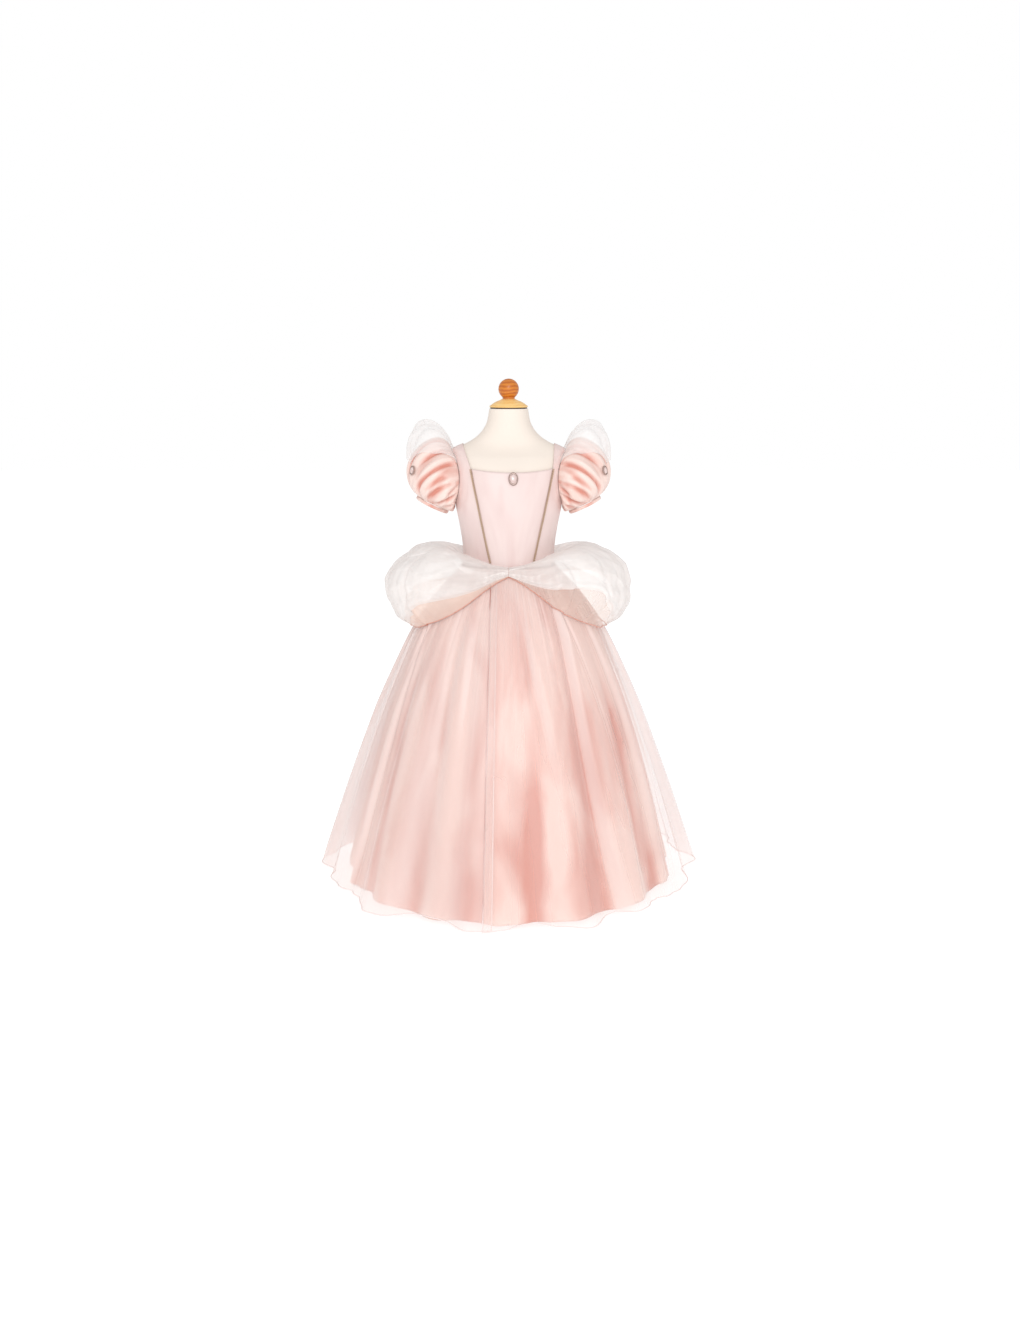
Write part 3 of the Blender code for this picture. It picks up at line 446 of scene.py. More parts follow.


# Polyester satin, 75 denier: its long floats give a soft, wide gloss. Its watery look is
# painted sheen, soft streaks of a paler and a deeper tone, and the deeper tone in its folds is
# painted shade. Its threads are drawn 0.8 mm apart, three times the real ones, and low, since
# satin is smooth to the eye.
def satin_cloth(name, colour, deep, gloss, sheen, streak=(0.05, 0.16)):
    """Satin in two tones, the deeper one in its folds as painted shade and in soft streaks of painted
    sheen, of a size in metres, across and down the cloth: a Principled gloss with a fine thread
    relief along its UV map."""
    nap = {"Sheen Weight": sheen, "Sheen Roughness": 0.4, "Sheen Tint": linear("#FFF4EE")}
    made, tree, shader = material(name, {"Roughness": gloss, **nap})
    # Painted sheen: soft noise streaks between the paler and the deeper tone.
    cloth, painted_sheen = streaks(tree, streak, 2.5, 0.5)
    # Painted shade: the fold attribute, set by each piece, moves the tone towards the deeper one.
    fold = add(tree, "Attribute", attribute_name="fold")
    depth = add(tree, "Math", {0: painted_sheen, 1: fold.outputs["Fac"]}, operation="ADD")
    tones = add(tree, "ValToRGB", {"Fac": depth.outputs[0]})
    tones.color_ramp.elements[0].position = 0.40
    tones.color_ramp.elements[0].color = linear(colour)
    tones.color_ramp.elements[1].position = 0.80
    tones.color_ramp.elements[1].color = linear(deep)
    tree.links.new(tones.outputs["Color"], shader.inputs["Base Color"])
    weave = {"Vector": cloth, "Scale": wave_scale(0.0008), "Distortion": 0.6, "Detail": 1.0}
    threads = add(tree, "TexWave", weave, bands_direction="X")
    slubs = add(tree, "TexNoise", {"Vector": cloth, "Scale": 1 / 0.03, "Detail": 2.0})
    height = add(tree, "Math", {0: threads.outputs["Fac"], 1: slubs.outputs["Fac"]}, operation="ADD")
    relief = add(tree, "Bump", {"Height": height.outputs[0], "Strength": 0.2, "Distance": 0.0005})
    tree.links.new(relief.outputs["Normal"], shader.inputs["Normal"])
    return made


bodice_satin = satin_cloth("pale_pink_satin", "#F0DCD8", "#E6CCC8", 0.42, 0.2)

for side, turn in (("left", BODICE_TURN), ("right", -BODICE_TURN)):
    azimuth, height = side_panel(SEAM_GAP / 2, turn)
    side_front = torso(azimuth, height, BODICE_OUT + ease(azimuth, height))
    panel = wall(surface(f"bodice_side_{side}", on_side(side, side_front)), BODICE_WALL)
    finish_piece(panel, bodice_satin, "bodice_satin", f"bodice_side_front_{side}")

across = np.linspace(-1, 1, 60)[None, :]
z = scooped(BODY_ROWS[:, None], across)
x = across * (seam_x(z) - SEAM_GAP / 2)
azimuth = torso_azimuth(x, z) + BODICE_TURN
centre = torso(azimuth, z, BODICE_OUT + ease(azimuth, z))
panel = wall(surface("bodice_centre", centre), BODICE_WALL)
finish_piece(panel, bodice_satin, "bodice_satin", "bodice_centre_front")

azimuth, height = side_panel()
middle_share = np.linspace(0, 1, 24)[:-1][None, :]
low = HALF_GAP_ANGLE + (azimuth[:, :1] - HALF_GAP_ANGLE) * middle_share
level = scooped(np.minimum(height[:, :1], NECKLINE_Z), middle_share)
around = math.pi - np.concatenate([low, azimuth], axis=1)
rising = np.concatenate([level, height], axis=1)
back = torso(around, rising, BODICE_OUT + ease(around, rising))[:, ::-1]
body_only = np.ones((back.shape[0] - 1, back.shape[1] - 1), bool)
body_only[len(BODY_ROWS) - 1 :, azimuth.shape[1] - 1 :] = False
for side in ("left", "right"):
    panel = surface(f"bodice_back_panel_{side}", on_side(side, back), kept=on_side(side, body_only))
    wall(panel, BODICE_WALL)
    finish_piece(panel, bodice_satin, "bodice_satin", f"bodice_back_{side}")

# The placket is a folded satin strip that covers the fastening down the centre back.
z = scooped(BODY_ROWS, 0.0)[:, None]
z[-1] = z[-1] - 0.001
x = np.linspace(-0.5, 0.5, 7)[None, :] * PLACKET_WIDTH
placket = torso(math.pi - torso_azimuth(x, z), z, PLACKET_OUT + 0 * (x + z))[:, ::-1]
placket = wall(surface("back_placket_strip", placket), PLACKET_WALL)
finish_piece(placket, bodice_satin, "bodice_satin", "back_placket")

# ---- Gold braids ----
# A two-ply cord of gold lurex, 4.6 mm wide, is stitched down over each front seam, from the
# corner of the neckline to the waist. It lies slightly flattened.

BRAID_WIDTH = 0.0046
BRAID_PITCH = 0.0085
BRAID_FLATTENED = 0.62
BRAID_FOOT_Z = 0.6362


def tube(path, normal, radius, sides=10, squash=1.0, offset=None):
    """A round cord along a path: at each point a circle in the plane of the normal and of the
    tangent crossed with it. squash flattens it towards the path's ground."""
    tangent = np.gradient(path, axis=0)
    tangent /= np.linalg.norm(tangent, axis=-1, keepdims=True)
    side = np.cross(tangent, normal)
    side /= np.linalg.norm(side, axis=-1, keepdims=True)
    up = np.cross(side, tangent)
    centre = path if offset is None else path + offset[0] * side + offset[1] * up
    angle = circle(sides)[..., None]
    ring = np.cos(angle) * side[:, None] + squash * np.sin(angle) * up[:, None]
    return centre[:, None] + radius * ring


def joined(name, pieces):
    """Several pieces made one, under a new name."""
    with bpy.context.temp_override(active_object=pieces[0], selected_editable_objects=pieces):
        bpy.ops.object.join()
    pieces[0].name = name
    return pieces[0]


# Lurex: a gold film laid over a pale core, so it glitters more softly than solid metal.
gold_braid, tree, shader = material("gold_lurex", {"Metallic": 0.75, "Roughness": 0.38})
place = add(tree, "TexCoord").outputs["Object"]
plies = add(tree, "TexNoise", {"Vector": place, "Scale": 1 / 0.0012, "Detail": 1.0})
tones = add(tree, "ValToRGB", {"Fac": plies.outputs["Fac"]})
tones.color_ramp.elements[0].color = linear("#AE9077")
tones.color_ramp.elements[1].color = linear("#E4CDB6")
tree.links.new(tones.outputs["Color"], shader.inputs["Base Color"])

z = np.linspace(BRAID_FOOT_Z, NECKLINE_Z - 0.001, 260)
strand = BRAID_WIDTH / 4
twisting = (2 * math.pi / BRAID_PITCH * (z - z[0]))[:, None]
for side, turn in (("left", BODICE_TURN), ("right", -BODICE_TURN)):
    seam = torso_azimuth(seam_x(z), z) + turn
    path = torso(seam, z, BODICE_OUT + 0.0004 + 2 * strand * BRAID_FLATTENED + 0 * z)
    strands = []
    for number, phase in enumerate((0.0, math.pi)):
        across = strand * np.cos(twisting + phase)
        outwards = strand * BRAID_FLATTENED * np.sin(twisting + phase)
        ply = tube(path, facing(seam, z), strand, 10, BRAID_FLATTENED, (across, outwards))[:, ::-1]
        ply = on_side(side, ply)
        strands.append(surface(f"braid_{side}_{number}", ply, closed=True, caps=True))
    braid = joined(f"braid_{side}", strands)
    finish_piece(braid, gold_braid, "gold_braid", f"gold_braid_{side}")

# ---- Satin underskirt ----
# Two flared panels of peach satin seamed at the sides, gathered a little into the waist. They
# hang inside the organza with shallow folds, and end at about the same level as it.

HEM_Z = 0.014
SATIN_HEM_Z = 0.009
LAYER_STEP = 0.0022
SKIRT_SECTIONS = (
    # height, half_width, half_depth
    (0.006, 0.3680, 0.3900),
    (0.090, 0.3420, 0.3620),
    (0.1865, 0.3120, 0.3280),
    (0.270, 0.2830, 0.2950),
    (0.353, 0.2520, 0.2610),
    (0.430, 0.2190, 0.2250),
    (0.492, 0.1900, 0.1920),
    (0.540, 0.1620, 0.1610),
    (0.580, 0.1330, 0.1270),
    (0.608, 0.1075, 0.0950),
    (0.620, 0.0975, 0.0825),
    (0.628, 0.0935, 0.0780),
)
SATIN_GAP_PER_DROP = (0.046, 0.070)  # at the front and back, and at the sides
SATIN_FOLDS = 15
SATIN_FOLD_DEPTH = 0.008
# Creases that run down both skirts: where each is at the waist and at the hem, how far it bows
# between, from which share of the drop to which, its depth and width, and where its lip stands.
SKIRT_CREASES = (
    # azimuth_waist, azimuth_hem, bow, from_drop, to_drop, depth, width_deg, lip_side
    (5, 26, 0, 0.08, 0.72, 0.0070, 2.4, 1),
    (14, 22, 0, 0.42, 1.00, -0.0050, 2.6, 1),
    (24, 23, 0, 0.02, 0.40, 0.0040, 1.5, -1),
    (36, 35, -4, 0.02, 1.15, 0.0090, 1.8, 1),
    (37, 44, 6, 0.03, 1.00, 0.0060, 1.7, -1),
    (58, 54, 3, 0.10, 0.95, 0.0050, 2.0, 1),
    (72, 62, 0, 0.25, 1.15, 0.0060, 2.0, -1),
    (86, 80, 0, 0.05, 0.80, 0.0045, 2.0, 1),
    (-9, -4, 0, 0.02, 0.30, 0.0035, 1.4, 1),
    (-22, -17, 2, 0.10, 0.60, 0.0034, 2.6, -1),
    (-33, -26, 0, 0.06, 0.85, 0.0050, 3.0, 1),
    (-46, -43, 3, 0.25, 1.10, 0.0050, 2.6, -1),
    (-66, -58, 4, 0.04, 1.15, 0.0075, 1.8, 1),
    (-80, -74, 0, 0.15, 0.95, 0.0045, 2.0, -1),
    (-92, -95, 0, 0.04, 0.70, 0.0055, 1.8, 1),
    (100, 104, 3, 0.03, 0.90, 0.0060, 2.0, 1),
    (122, 131, 0, 0.10, 1.15, 0.0070, 2.2, -1),
    (143, 140, -3, 0.02, 0.60, 0.0050, 1.8, 1),
    (160, 165, 2, 0.05, 1.15, 0.0070, 2.0, 1),
    (176, 171, 0, 0.30, 1.00, 0.0045, 2.4, -1),
    (187, 192, 0, 0.04, 0.80, 0.0060, 1.8, -1),
    (206, 217, 0, 0.02, 1.15, 0.0075, 2.2, 1),
    (230, 225, 3, 0.08, 0.75, 0.0050, 2.0, -1),
    (249, 252, 0, 0.03, 1.15, 0.0065, 2.0, 1),
)


def skirt_ring(azimuth, height, swell):
    """A point of the skirt: an oval whose half axes follow the table, moved out by a swell."""
    x = (smooth_curve(SKIRT_SECTIONS, 1, height) + swell) * np.sin(azimuth)
    y = -(smooth_curve(SKIRT_SECTIONS, 2, height) + swell) * np.cos(azimuth)
    return stacked(x, y, height)


def dropped(height):
    """The share of the way down from the waist to the hem."""
    return (WAIST_Z - height) / (WAIST_Z - HEM_Z)


def turn_between(place, azimuth):
    """The signed angle from a place to an azimuth, the shorter way round."""
    return np.mod(azimuth - place + math.pi, 2 * math.pi) - math.pi


def troughs(rows, angle, share, fades, lip_shape):
    """The sum of a table's troughs along the cloth: each a narrow bell across it with a lower bell
    beside it, the lip, faded in and out along its run. The lip's height is a share of the trough's,
    and its distance and width are counted in the trough's widths."""
    lip_height, lip_distance, lip_width = lip_shape
    total = 0.0
    for start, end, bow, first, last, depth, width, lip_side in rows:
        place = np.radians(start + (end - start) * share + bow * np.sin(np.pi * share))
        away = turn_between(place, angle) / np.radians(width)
        run = np.clip((share - first) / fades[0], 0, 1) * np.clip((last - share) / fades[1], 0, 1)
        lip = lip_height * np.exp(-(((away - lip_distance * lip_side) / lip_width) ** 2))
        total = total + depth * run * (lip - np.exp(-(away**2)))
    return total


def creases(azimuth, drop):
    """The troughs of both skirts, which begin gently under the waist."""
    total = troughs(SKIRT_CREASES, azimuth, drop, (0.10, 0.25), (0.6, 2.0, 1.2))
    return total * np.clip(drop / 0.15, 0, 1) ** 0.5


def satin_swell(azimuth, height):
    """The underskirt's folds: cosines, finer ones that cross them slowly, and shallow creases
    where the organza's are."""
    drop = np.clip(dropped(height), 0, 1)
    folds = SATIN_FOLD_DEPTH * np.cos(SATIN_FOLDS * azimuth + 0.8 * np.sin(2 * azimuth + 1))
    fine = 0.0018 * np.cos(34 * azimuth + 2 * np.sin(5 * azimuth) + 3 * drop)
    return (folds + fine) * drop**1.3 + 0.35 * creases(azimuth, drop)


def satin(azimuth, height):
    """The underskirt: inside the organza by a gap that widens downwards, with its own folds."""
    front_gap, side_gap = SATIN_GAP_PER_DROP
    per_drop = front_gap + (side_gap - front_gap) * np.sin(azimuth) ** 2
    inward = LAYER_STEP + per_drop * (WAIST_Z - height)
    return skirt_ring(azimuth, height, satin_swell(azimuth, height) - inward)


# Wide painted sheen and painted shade, paler or deeper, where the satin turns to the light or from
# it.
SATIN_PAINTED_LIGHT = (
    # azimuth_deg, drop, half_width_deg, half_length, tone
    (2, 0.82, 9, 0.16, 0.20),
    (-3, 0.50, 6, 0.14, 0.10),
    (7, 0.62, 6, 0.10, 0.10),
    (13, 0.60, 5, 0.14, 0.14),
    (27, 0.86, 9, 0.13, 0.12),
    (17, 0.80, 3.5, 0.13, -0.16),
    (8, 0.30, 12, 0.12, -0.08),
    (-16, 0.66, 9, 0.22, -0.10),
    (-30, 0.88, 9, 0.10, 0.10),
    (-48, 0.70, 8, 0.20, 0.04),
    (40, 0.50, 5, 0.22, 0.10),
    (50, 0.75, 6, 0.20, 0.08),
    (95, 0.70, 10, 0.20, 0.10),
    (140, 0.80, 9, 0.16, 0.15),
    (168, 0.55, 8, 0.20, -0.10),
    (200, 0.85, 9, 0.14, 0.16),
    (240, 0.60, 9, 0.18, 0.08),
)


def painted_sheen_and_shade(azimuth, drop):
    """The painted sheen and shade: the sum of the table's patches, each a bell across the cloth times
    a bell down it, and of a paler tone that fades down from the waist. More is deeper in tone."""
    total = 0.0
    for middle, level, width, length, tone in SATIN_PAINTED_LIGHT:
        away = turn_between(math.radians(middle), azimuth) / np.radians(width)
        total = total + tone * np.exp(-(away**2) - ((drop - level) / length) ** 2)
    return total - 0.07 * np.exp(-drop / 0.4)


skirt_satin = satin_cloth("peach_satin", "#FDE0D6", "#DE8C79", 0.36, 0.2, (0.085, 0.20))
drop = np.linspace(0, 1, 90)[:, None] ** 1.15
height = WAIST_Z - (WAIST_Z - SATIN_HEM_Z) * drop
quarter = math.pi / 2 - HALF_GAP_ANGLE
around = np.linspace(-quarter, quarter, 260)[None, :]
for side, middle in (("front", 0.0), ("back", math.pi)):
    # Painted shade deepens the satin's troughs and a painted highlight pales its crests; the patches
    # add painted sheen and shade.
    fold = 0.26 * np.clip(-satin_swell(around + middle, height) / 0.008, -0.4, 1)
    fold = fold + painted_sheen_and_shade(around + middle, drop)
    rows = satin(around + middle, height)[::-1]
    panel = surface(f"underskirt_panel_{side}", rows, fold=fold[::-1])
    wall(panel, 0.0010, 1.0)
    finish_piece(panel, skirt_satin, "skirt_satin", f"underskirt_{side}")

# ---- Organza overskirt ----
# Two wide panels of pale pink organza, gathered into the waist and seamed at the centre back.
# They lap over at the centre front, and their edges are rolled over a fine cord and overlocked.

ORGANZA_WALL = 0.0010
SKIRT_FOLDS = (
    # azimuth_deg, depth
    (-92, 0.015),
    (-66, 0.005),
    (-45, 0.019),
    (-9, 0.012),
    (21, 0.011),
    (42, 0.015),
    (68, 0.006),
    (89, 0.015),
    (118, 0.012),
    (147, 0.012),
    (172, 0.010),
    (200, 0.011),
    (236, 0.013),
)
FINE_FOLDS = 25
FINE_FOLD_DEPTH = 0.0034
GATHERS = 74
GATHER_DEPTH = 0.0017
HEM_WAVE = 0.0045
RUFFLES = 43
RUFFLE_DEPTH = 0.0016
LAP_EDGE_X = (-0.033, -0.045)
UNDER_EDGE_X = (-0.022, -0.030)
LAP_LOOSENESS = 0.0040
LAP_WIDTH = math.radians(32)


def fold_wave(azimuth):
    """The largest folds: a cosine whose crests fall at the table's azimuths, times its depths."""
    crests = np.array(SKIRT_FOLDS, float)
    places = np.radians(np.append(crests[:, 0], crests[0, 0] + 360))
    depths = np.append(crests[:, 1], crests[0, 1])
    turn = places[0] + np.mod(np.asarray(azimuth) - places[0], 2 * math.pi)
    phase = np.interp(turn, places, np.arange(len(places)) * 2 * math.pi)
    return np.interp(turn, places, depths) * np.cos(phase)


def overskirt(azimuth, height, out=0.0):
    """The organza: an oval ring moved out by the large folds, finer ones and creases, all of them
    deeper towards the hem, by the gathers at the waist and by small ruffles at the hem."""
    drop = np.clip(dropped(height), 0, 1.05)
    fine = FINE_FOLD_DEPTH * np.cos(FINE_FOLDS * azimuth + 2 * np.sin(3 * azimuth))
    folds = (fold_wave(azimuth) + fine) * drop**1.15
    crests = np.abs(np.cos(GATHERS / 2 * azimuth + 1.4 * np.sin(4 * azimuth)))
    reach = 0.22 + 0.12 * np.sin(5 * azimuth + 1) + 0.06 * np.sin(17 * azimuth)
    gathers = GATHER_DEPTH * (2 * crests - 1) * np.exp(-drop / reach) * np.clip(drop / 0.05, 0, 1)
    ruffles = RUFFLE_DEPTH * np.cos(RUFFLES * azimuth + 3 * np.sin(7 * azimuth))
    ruffles = ruffles * np.exp(-(1 - np.clip(drop, 0, 1)) / 0.025)
    swell = folds + gathers + ruffles + creases(azimuth, drop)
    return skirt_ring(azimuth, height, swell + out)


def hem_height(azimuth):
    """The hem rises and dips as the folds swing out and in."""
    return HEM_Z + HEM_WAVE * np.sin(9 * azimuth + 1.3 * np.sin(2 * azimuth))


def edge_azimuth(edge_x, height):
    """The azimuth of a front edge that falls nearly straight, from its x at waist and hem."""
    edge = edge_x[0] + (edge_x[1] - edge_x[0]) * dropped(height)
    return np.arcsin(edge / smooth_curve(SKIRT_SECTIONS, 1, height))


def cover(points, plain, thin, crowding):
    """How much light the organza stops at each point: thin where it lies flat, and more where a
    fold crowds it. The clear share is raised to a power, which is 1 plus crowding times what the
    cosine of the angle between the folded and the plain surface lacks of 1."""
    normals = []
    for grid in (points, plain):
        normal = np.cross(np.gradient(grid, axis=1), np.gradient(grid, axis=0))
        normals.append(normal / np.maximum(np.linalg.norm(normal, axis=-1, keepdims=True), 1e-12))
    lacking = 1 - np.abs((normals[0] * normals[1]).sum(axis=-1))
    return 1 - (1 - thin) ** (1 + crowding * lacking)


# Nylon organza: a stiff, open plain weave that lets through more than half of the light, with
# a cool gloss. Its 0.3 mm mesh is far finer than the render, so it is a film here, and the drift
# of its threads shows as streaks of more and less cover.
def organza_cloth(name, colour, streak):
    """Organza in one colour: its opacity is the cover attribute times soft streaks of a size in
    metres, across and down the cloth, and faint crinkles follow its UV map."""
    nap = {"Sheen Weight": 0.3, "Sheen Roughness": 0.35, "Sheen Tint": linear("#FFF6F4")}
    made, tree, shader = material(name, {"Base Color": linear(colour), "Roughness": 0.4, **nap})
    cloth, drift = streaks(tree, streak, 2.0, 0.4)
    limits = {"From Min": 0.3, "From Max": 0.7, "To Min": 0.88, "To Max": 1.12}
    spread = add(tree, "MapRange", {"Value": drift, **limits})
    covered = add(tree, "Attribute", attribute_name="cover")
    share = {0: covered.outputs["Fac"], 1: spread.outputs["Result"]}
    stopped = add(tree, "Math", share, operation="MULTIPLY", use_clamp=True)
    tree.links.new(stopped.outputs[0], shader.inputs["Alpha"])
    crinkle = add(tree, "TexNoise", {"Vector": cloth, "Scale": 1 / 0.03, "Detail": 3.0})
    relief = add(tree, "Bump", {"Height": crinkle.outputs["Fac"], "Strength": 0.3, "Distance": 0.004})
    tree.links.new(relief.outputs["Normal"], shader.inputs["Normal"])
    return made


pink_organza = organza_cloth("pale_pink_organza", "#F9E6E1", (0.09, 0.30))
# The thread's deeper tone is painted shade, which the fold attribute lays down the front edge.
rolled_edge = satin_cloth("overlock_thread", "#FBEAE7", "#B98076", 0.4, 0.3)
LEFT_COVER, RIGHT_COVER = 0.22, 0.44  # at the hem: the right panel shows paler
WAIST_COVER = (0.30, 0.12)  # how much more each covers at the waist, where it is gathered close
UNDER_LAP_COVER = 0.15  # and where it runs on under the left one, it hardly shows
SKIRT_CROWDING = 4.0

drop = np.linspace(0, 1, 130)[:, None] ** 1.1
share = np.linspace(0, 1, 500)[None, :]
for side, edge_x, thin, closer in (
    ("left", LAP_EDGE_X, LEFT_COVER, WAIST_COVER[0]),
    ("right", UNDER_EDGE_X, RIGHT_COVER, WAIST_COVER[1]),
):
    sign = 1 if side == "left" else -1
    thin = thin + closer * np.exp(-drop / 0.35)
    straight = WAIST_Z - (WAIST_Z - HEM_Z) * drop
    front = edge_azimuth(edge_x, straight)
    azimuth = front + (sign * (math.pi - HALF_GAP_ANGLE) - front) * share
    height = WAIST_Z - (WAIST_Z - hem_height(azimuth[-1:])) * drop
    lap = 0.0
    if side == "left":
        lap = (LAYER_STEP + LAP_LOOSENESS * drop) * np.exp(-((azimuth / LAP_WIDTH) ** 4))
    else:
        under = np.clip((azimuth - edge_azimuth(LAP_EDGE_X, straight)) / math.radians(2.5), 0, 1)
        thin = thin + (UNDER_LAP_COVER - thin) * under
    points = overskirt(azimuth, height, ORGANZA_WALL + lap)
    stops = cover(points, skirt_ring(azimuth, height, 0.0), thin, SKIRT_CROWDING)
    path = np.concatenate([points[6:-1, 0], points[-1]])
    outwards = path * np.array([1.0, 1.0, 0.0])
    hem = tube(path, outwards, 0.0009, 6)
    turned_out = slice(None, None, -1 if side == "left" else 1)
    panel = surface(f"overskirt_panel_{side}", points[turned_out], cover=stops[turned_out])
    finish_piece(panel, pink_organza, "organza", f"overskirt_{side}")
    # Down the front the upper cord is painted deeper in tone, as shade, most at its top, and along
    # the hem it keeps its pale tone.
    deeper = np.where((path[:, 2:] > HEM_Z + 0.012) & (side == "left"), 0.08, -0.2)
    deeper = deeper + 0.5 * np.clip((path[:, 2:] - 0.555) / 0.02, 0, 1) * (side == "left")
    hem = surface(f"rolled_hem_{side}", hem[:, ::-1], closed=True, caps=True, fold=deeper)
    finish_piece(hem, rolled_edge, "organza")

# ---- Organza panniers ----
# A puff of white organza stands over each hip. Its upper part is doubled and folded over, and
# below that fold a single layer runs on to where the puff is caught to the skirt.

PANNIER_SECTIONS = (
    # azimuth_deg, catch_z, fullness
    (0.2, 0.6130, 0.06),
    (10.0, 0.6040, 0.13),
    (20.0, 0.5890, 0.26),
    (30.0, 0.5680, 0.46),
    (42.0, 0.5430, 0.72),
    (56.0, 0.5250, 0.91),
    (74.0, 0.5080, 0.99),
    (90.0, 0.5040, 1.00),
)
PANNIER_FOLDS = (
    # azimuth_deg, share of the way down at which the left and the right one's fold hangs
    (0.2, 0.93, 0.88),
    (10.0, 0.91, 0.885),
    (20.0, 0.85, 0.885),
    (30.0, 0.79, 0.86),
    (42.0, 0.72, 0.835),
    (52.0, 0.74, 0.845),
    (62.0, 0.87, 0.90),
    (74.0, 0.97, 0.97),
    (90.0, 0.98, 0.98),
)
PANNIER_SEAM_RISE = 0.0030
PANNIER_SEAM_OUT = 0.004
PANNIER_BACK_GAP = math.radians(10)
PANNIER_BACK_TAPER = 0.82
PANNIER_RISE = (0.060, 0.112)
PANNIER_SPREAD = (0.132, 0.080)
PANNIER_GATHERS = 10
PANNIER_GATHER_DEPTH = 0.0032
PANNIER_CATCH_GAP = 0.0030
LONG_FOLD_DEPTH = 0.0044
CRUMPLE_DEPTH = 0.0011


def from_front(azimuth):
    """The degrees by which the pannier's tables go: from the front, and tapered from the back."""
    from_back = (math.pi - azimuth) * PANNIER_BACK_TAPER
    return np.degrees(np.where(azimuth < math.pi / 2, azimuth, from_back))


def level_way(azimuth):
    """The direction that points level and straight out at an azimuth."""
    return np.stack([np.sin(azimuth), -np.cos(azimuth), 0 * azimuth], axis=-1)


def cubic(start, handle_a, handle_b, end, t):
    """The point at a share of the way along a cubic curve, from its two ends and two handles."""
    return (
        (1 - t) ** 3 * start
        + 3 * (1 - t) ** 2 * t * handle_a
        + 3 * (1 - t) * t**2 * handle_b
        + t**3 * end
    )


def pannier(azimuth, along, side, crumpled=True):
    """A pannier, drawn on the left: at each azimuth a cubic curve leaves the waist upwards, swells
    out over the hip and comes back to the overskirt, where side is 1 for the left half and -1 for
    the right. Gathers fan out from the waist, and long folds and crumples cross them."""
    azimuth, along = np.broadcast_arrays(azimuth, along)
    catch_z = smooth_curve(PANNIER_SECTIONS, 1, from_front(azimuth))
    full = smooth_curve(PANNIER_SECTIONS, 2, from_front(azimuth))[..., None]
    start = torso(azimuth, WAIST_Z + PANNIER_SEAM_RISE, BODICE_OUT + ORGANZA_WALL + SEAM_GAP)
    catch = overskirt(side * azimuth, catch_z, ORGANZA_WALL * 1.5 + LAYER_STEP + PANNIER_CATCH_GAP)
    catch = catch * np.array([side, 1.0, 1.0])
    outward, upward = level_way(azimuth), np.array([0.0, 0.0, 1.0])
    handle_a = start + full * (PANNIER_RISE[0] * outward + PANNIER_RISE[1] * upward)
    handle_a = handle_a + PANNIER_SEAM_OUT * outward
    handle_b = catch + full * (PANNIER_SPREAD[0] * outward + PANNIER_SPREAD[1] * upward)
    curve = cubic(start, handle_a, handle_b, catch, along[..., None])
    if not crumpled:
        return curve
    wave = np.cos(2 * PANNIER_GATHERS * azimuth + 1.2 * np.sin(3 * azimuth))
    fine = np.abs(np.cos(29 * azimuth + 4 * along + 1.5 * np.sin(5 * azimuth)))
    fine = 0.0026 * (2 * fine - 1) * np.exp(-along / 0.25)
    bend = 0.5 * np.sin(2.3 * azimuth + side) + 0.18 * np.sin(7 * azimuth - 2 * side)
    long_folds = LONG_FOLD_DEPTH * (2 * np.abs(np.cos(np.pi * (2.6 * along + bend))) - 1)
    twist = 7.2 * along - 0.9 * np.sin(3.1 * azimuth + 2 * side) + 1.1 * azimuth
    crumples = CRUMPLE_DEPTH * (1 - 2 * np.abs(np.cos(np.pi * twist + np.sin(13 * azimuth))))
    bumps = PANNIER_GATHER_DEPTH * wave + fine + long_folds + crumples
    swell = np.sin(np.pi * np.clip(along, 0, 1)) ** 0.8 * (0.35 + 0.65 * full[..., 0])
    return curve + (bumps * swell)[..., None] * outward


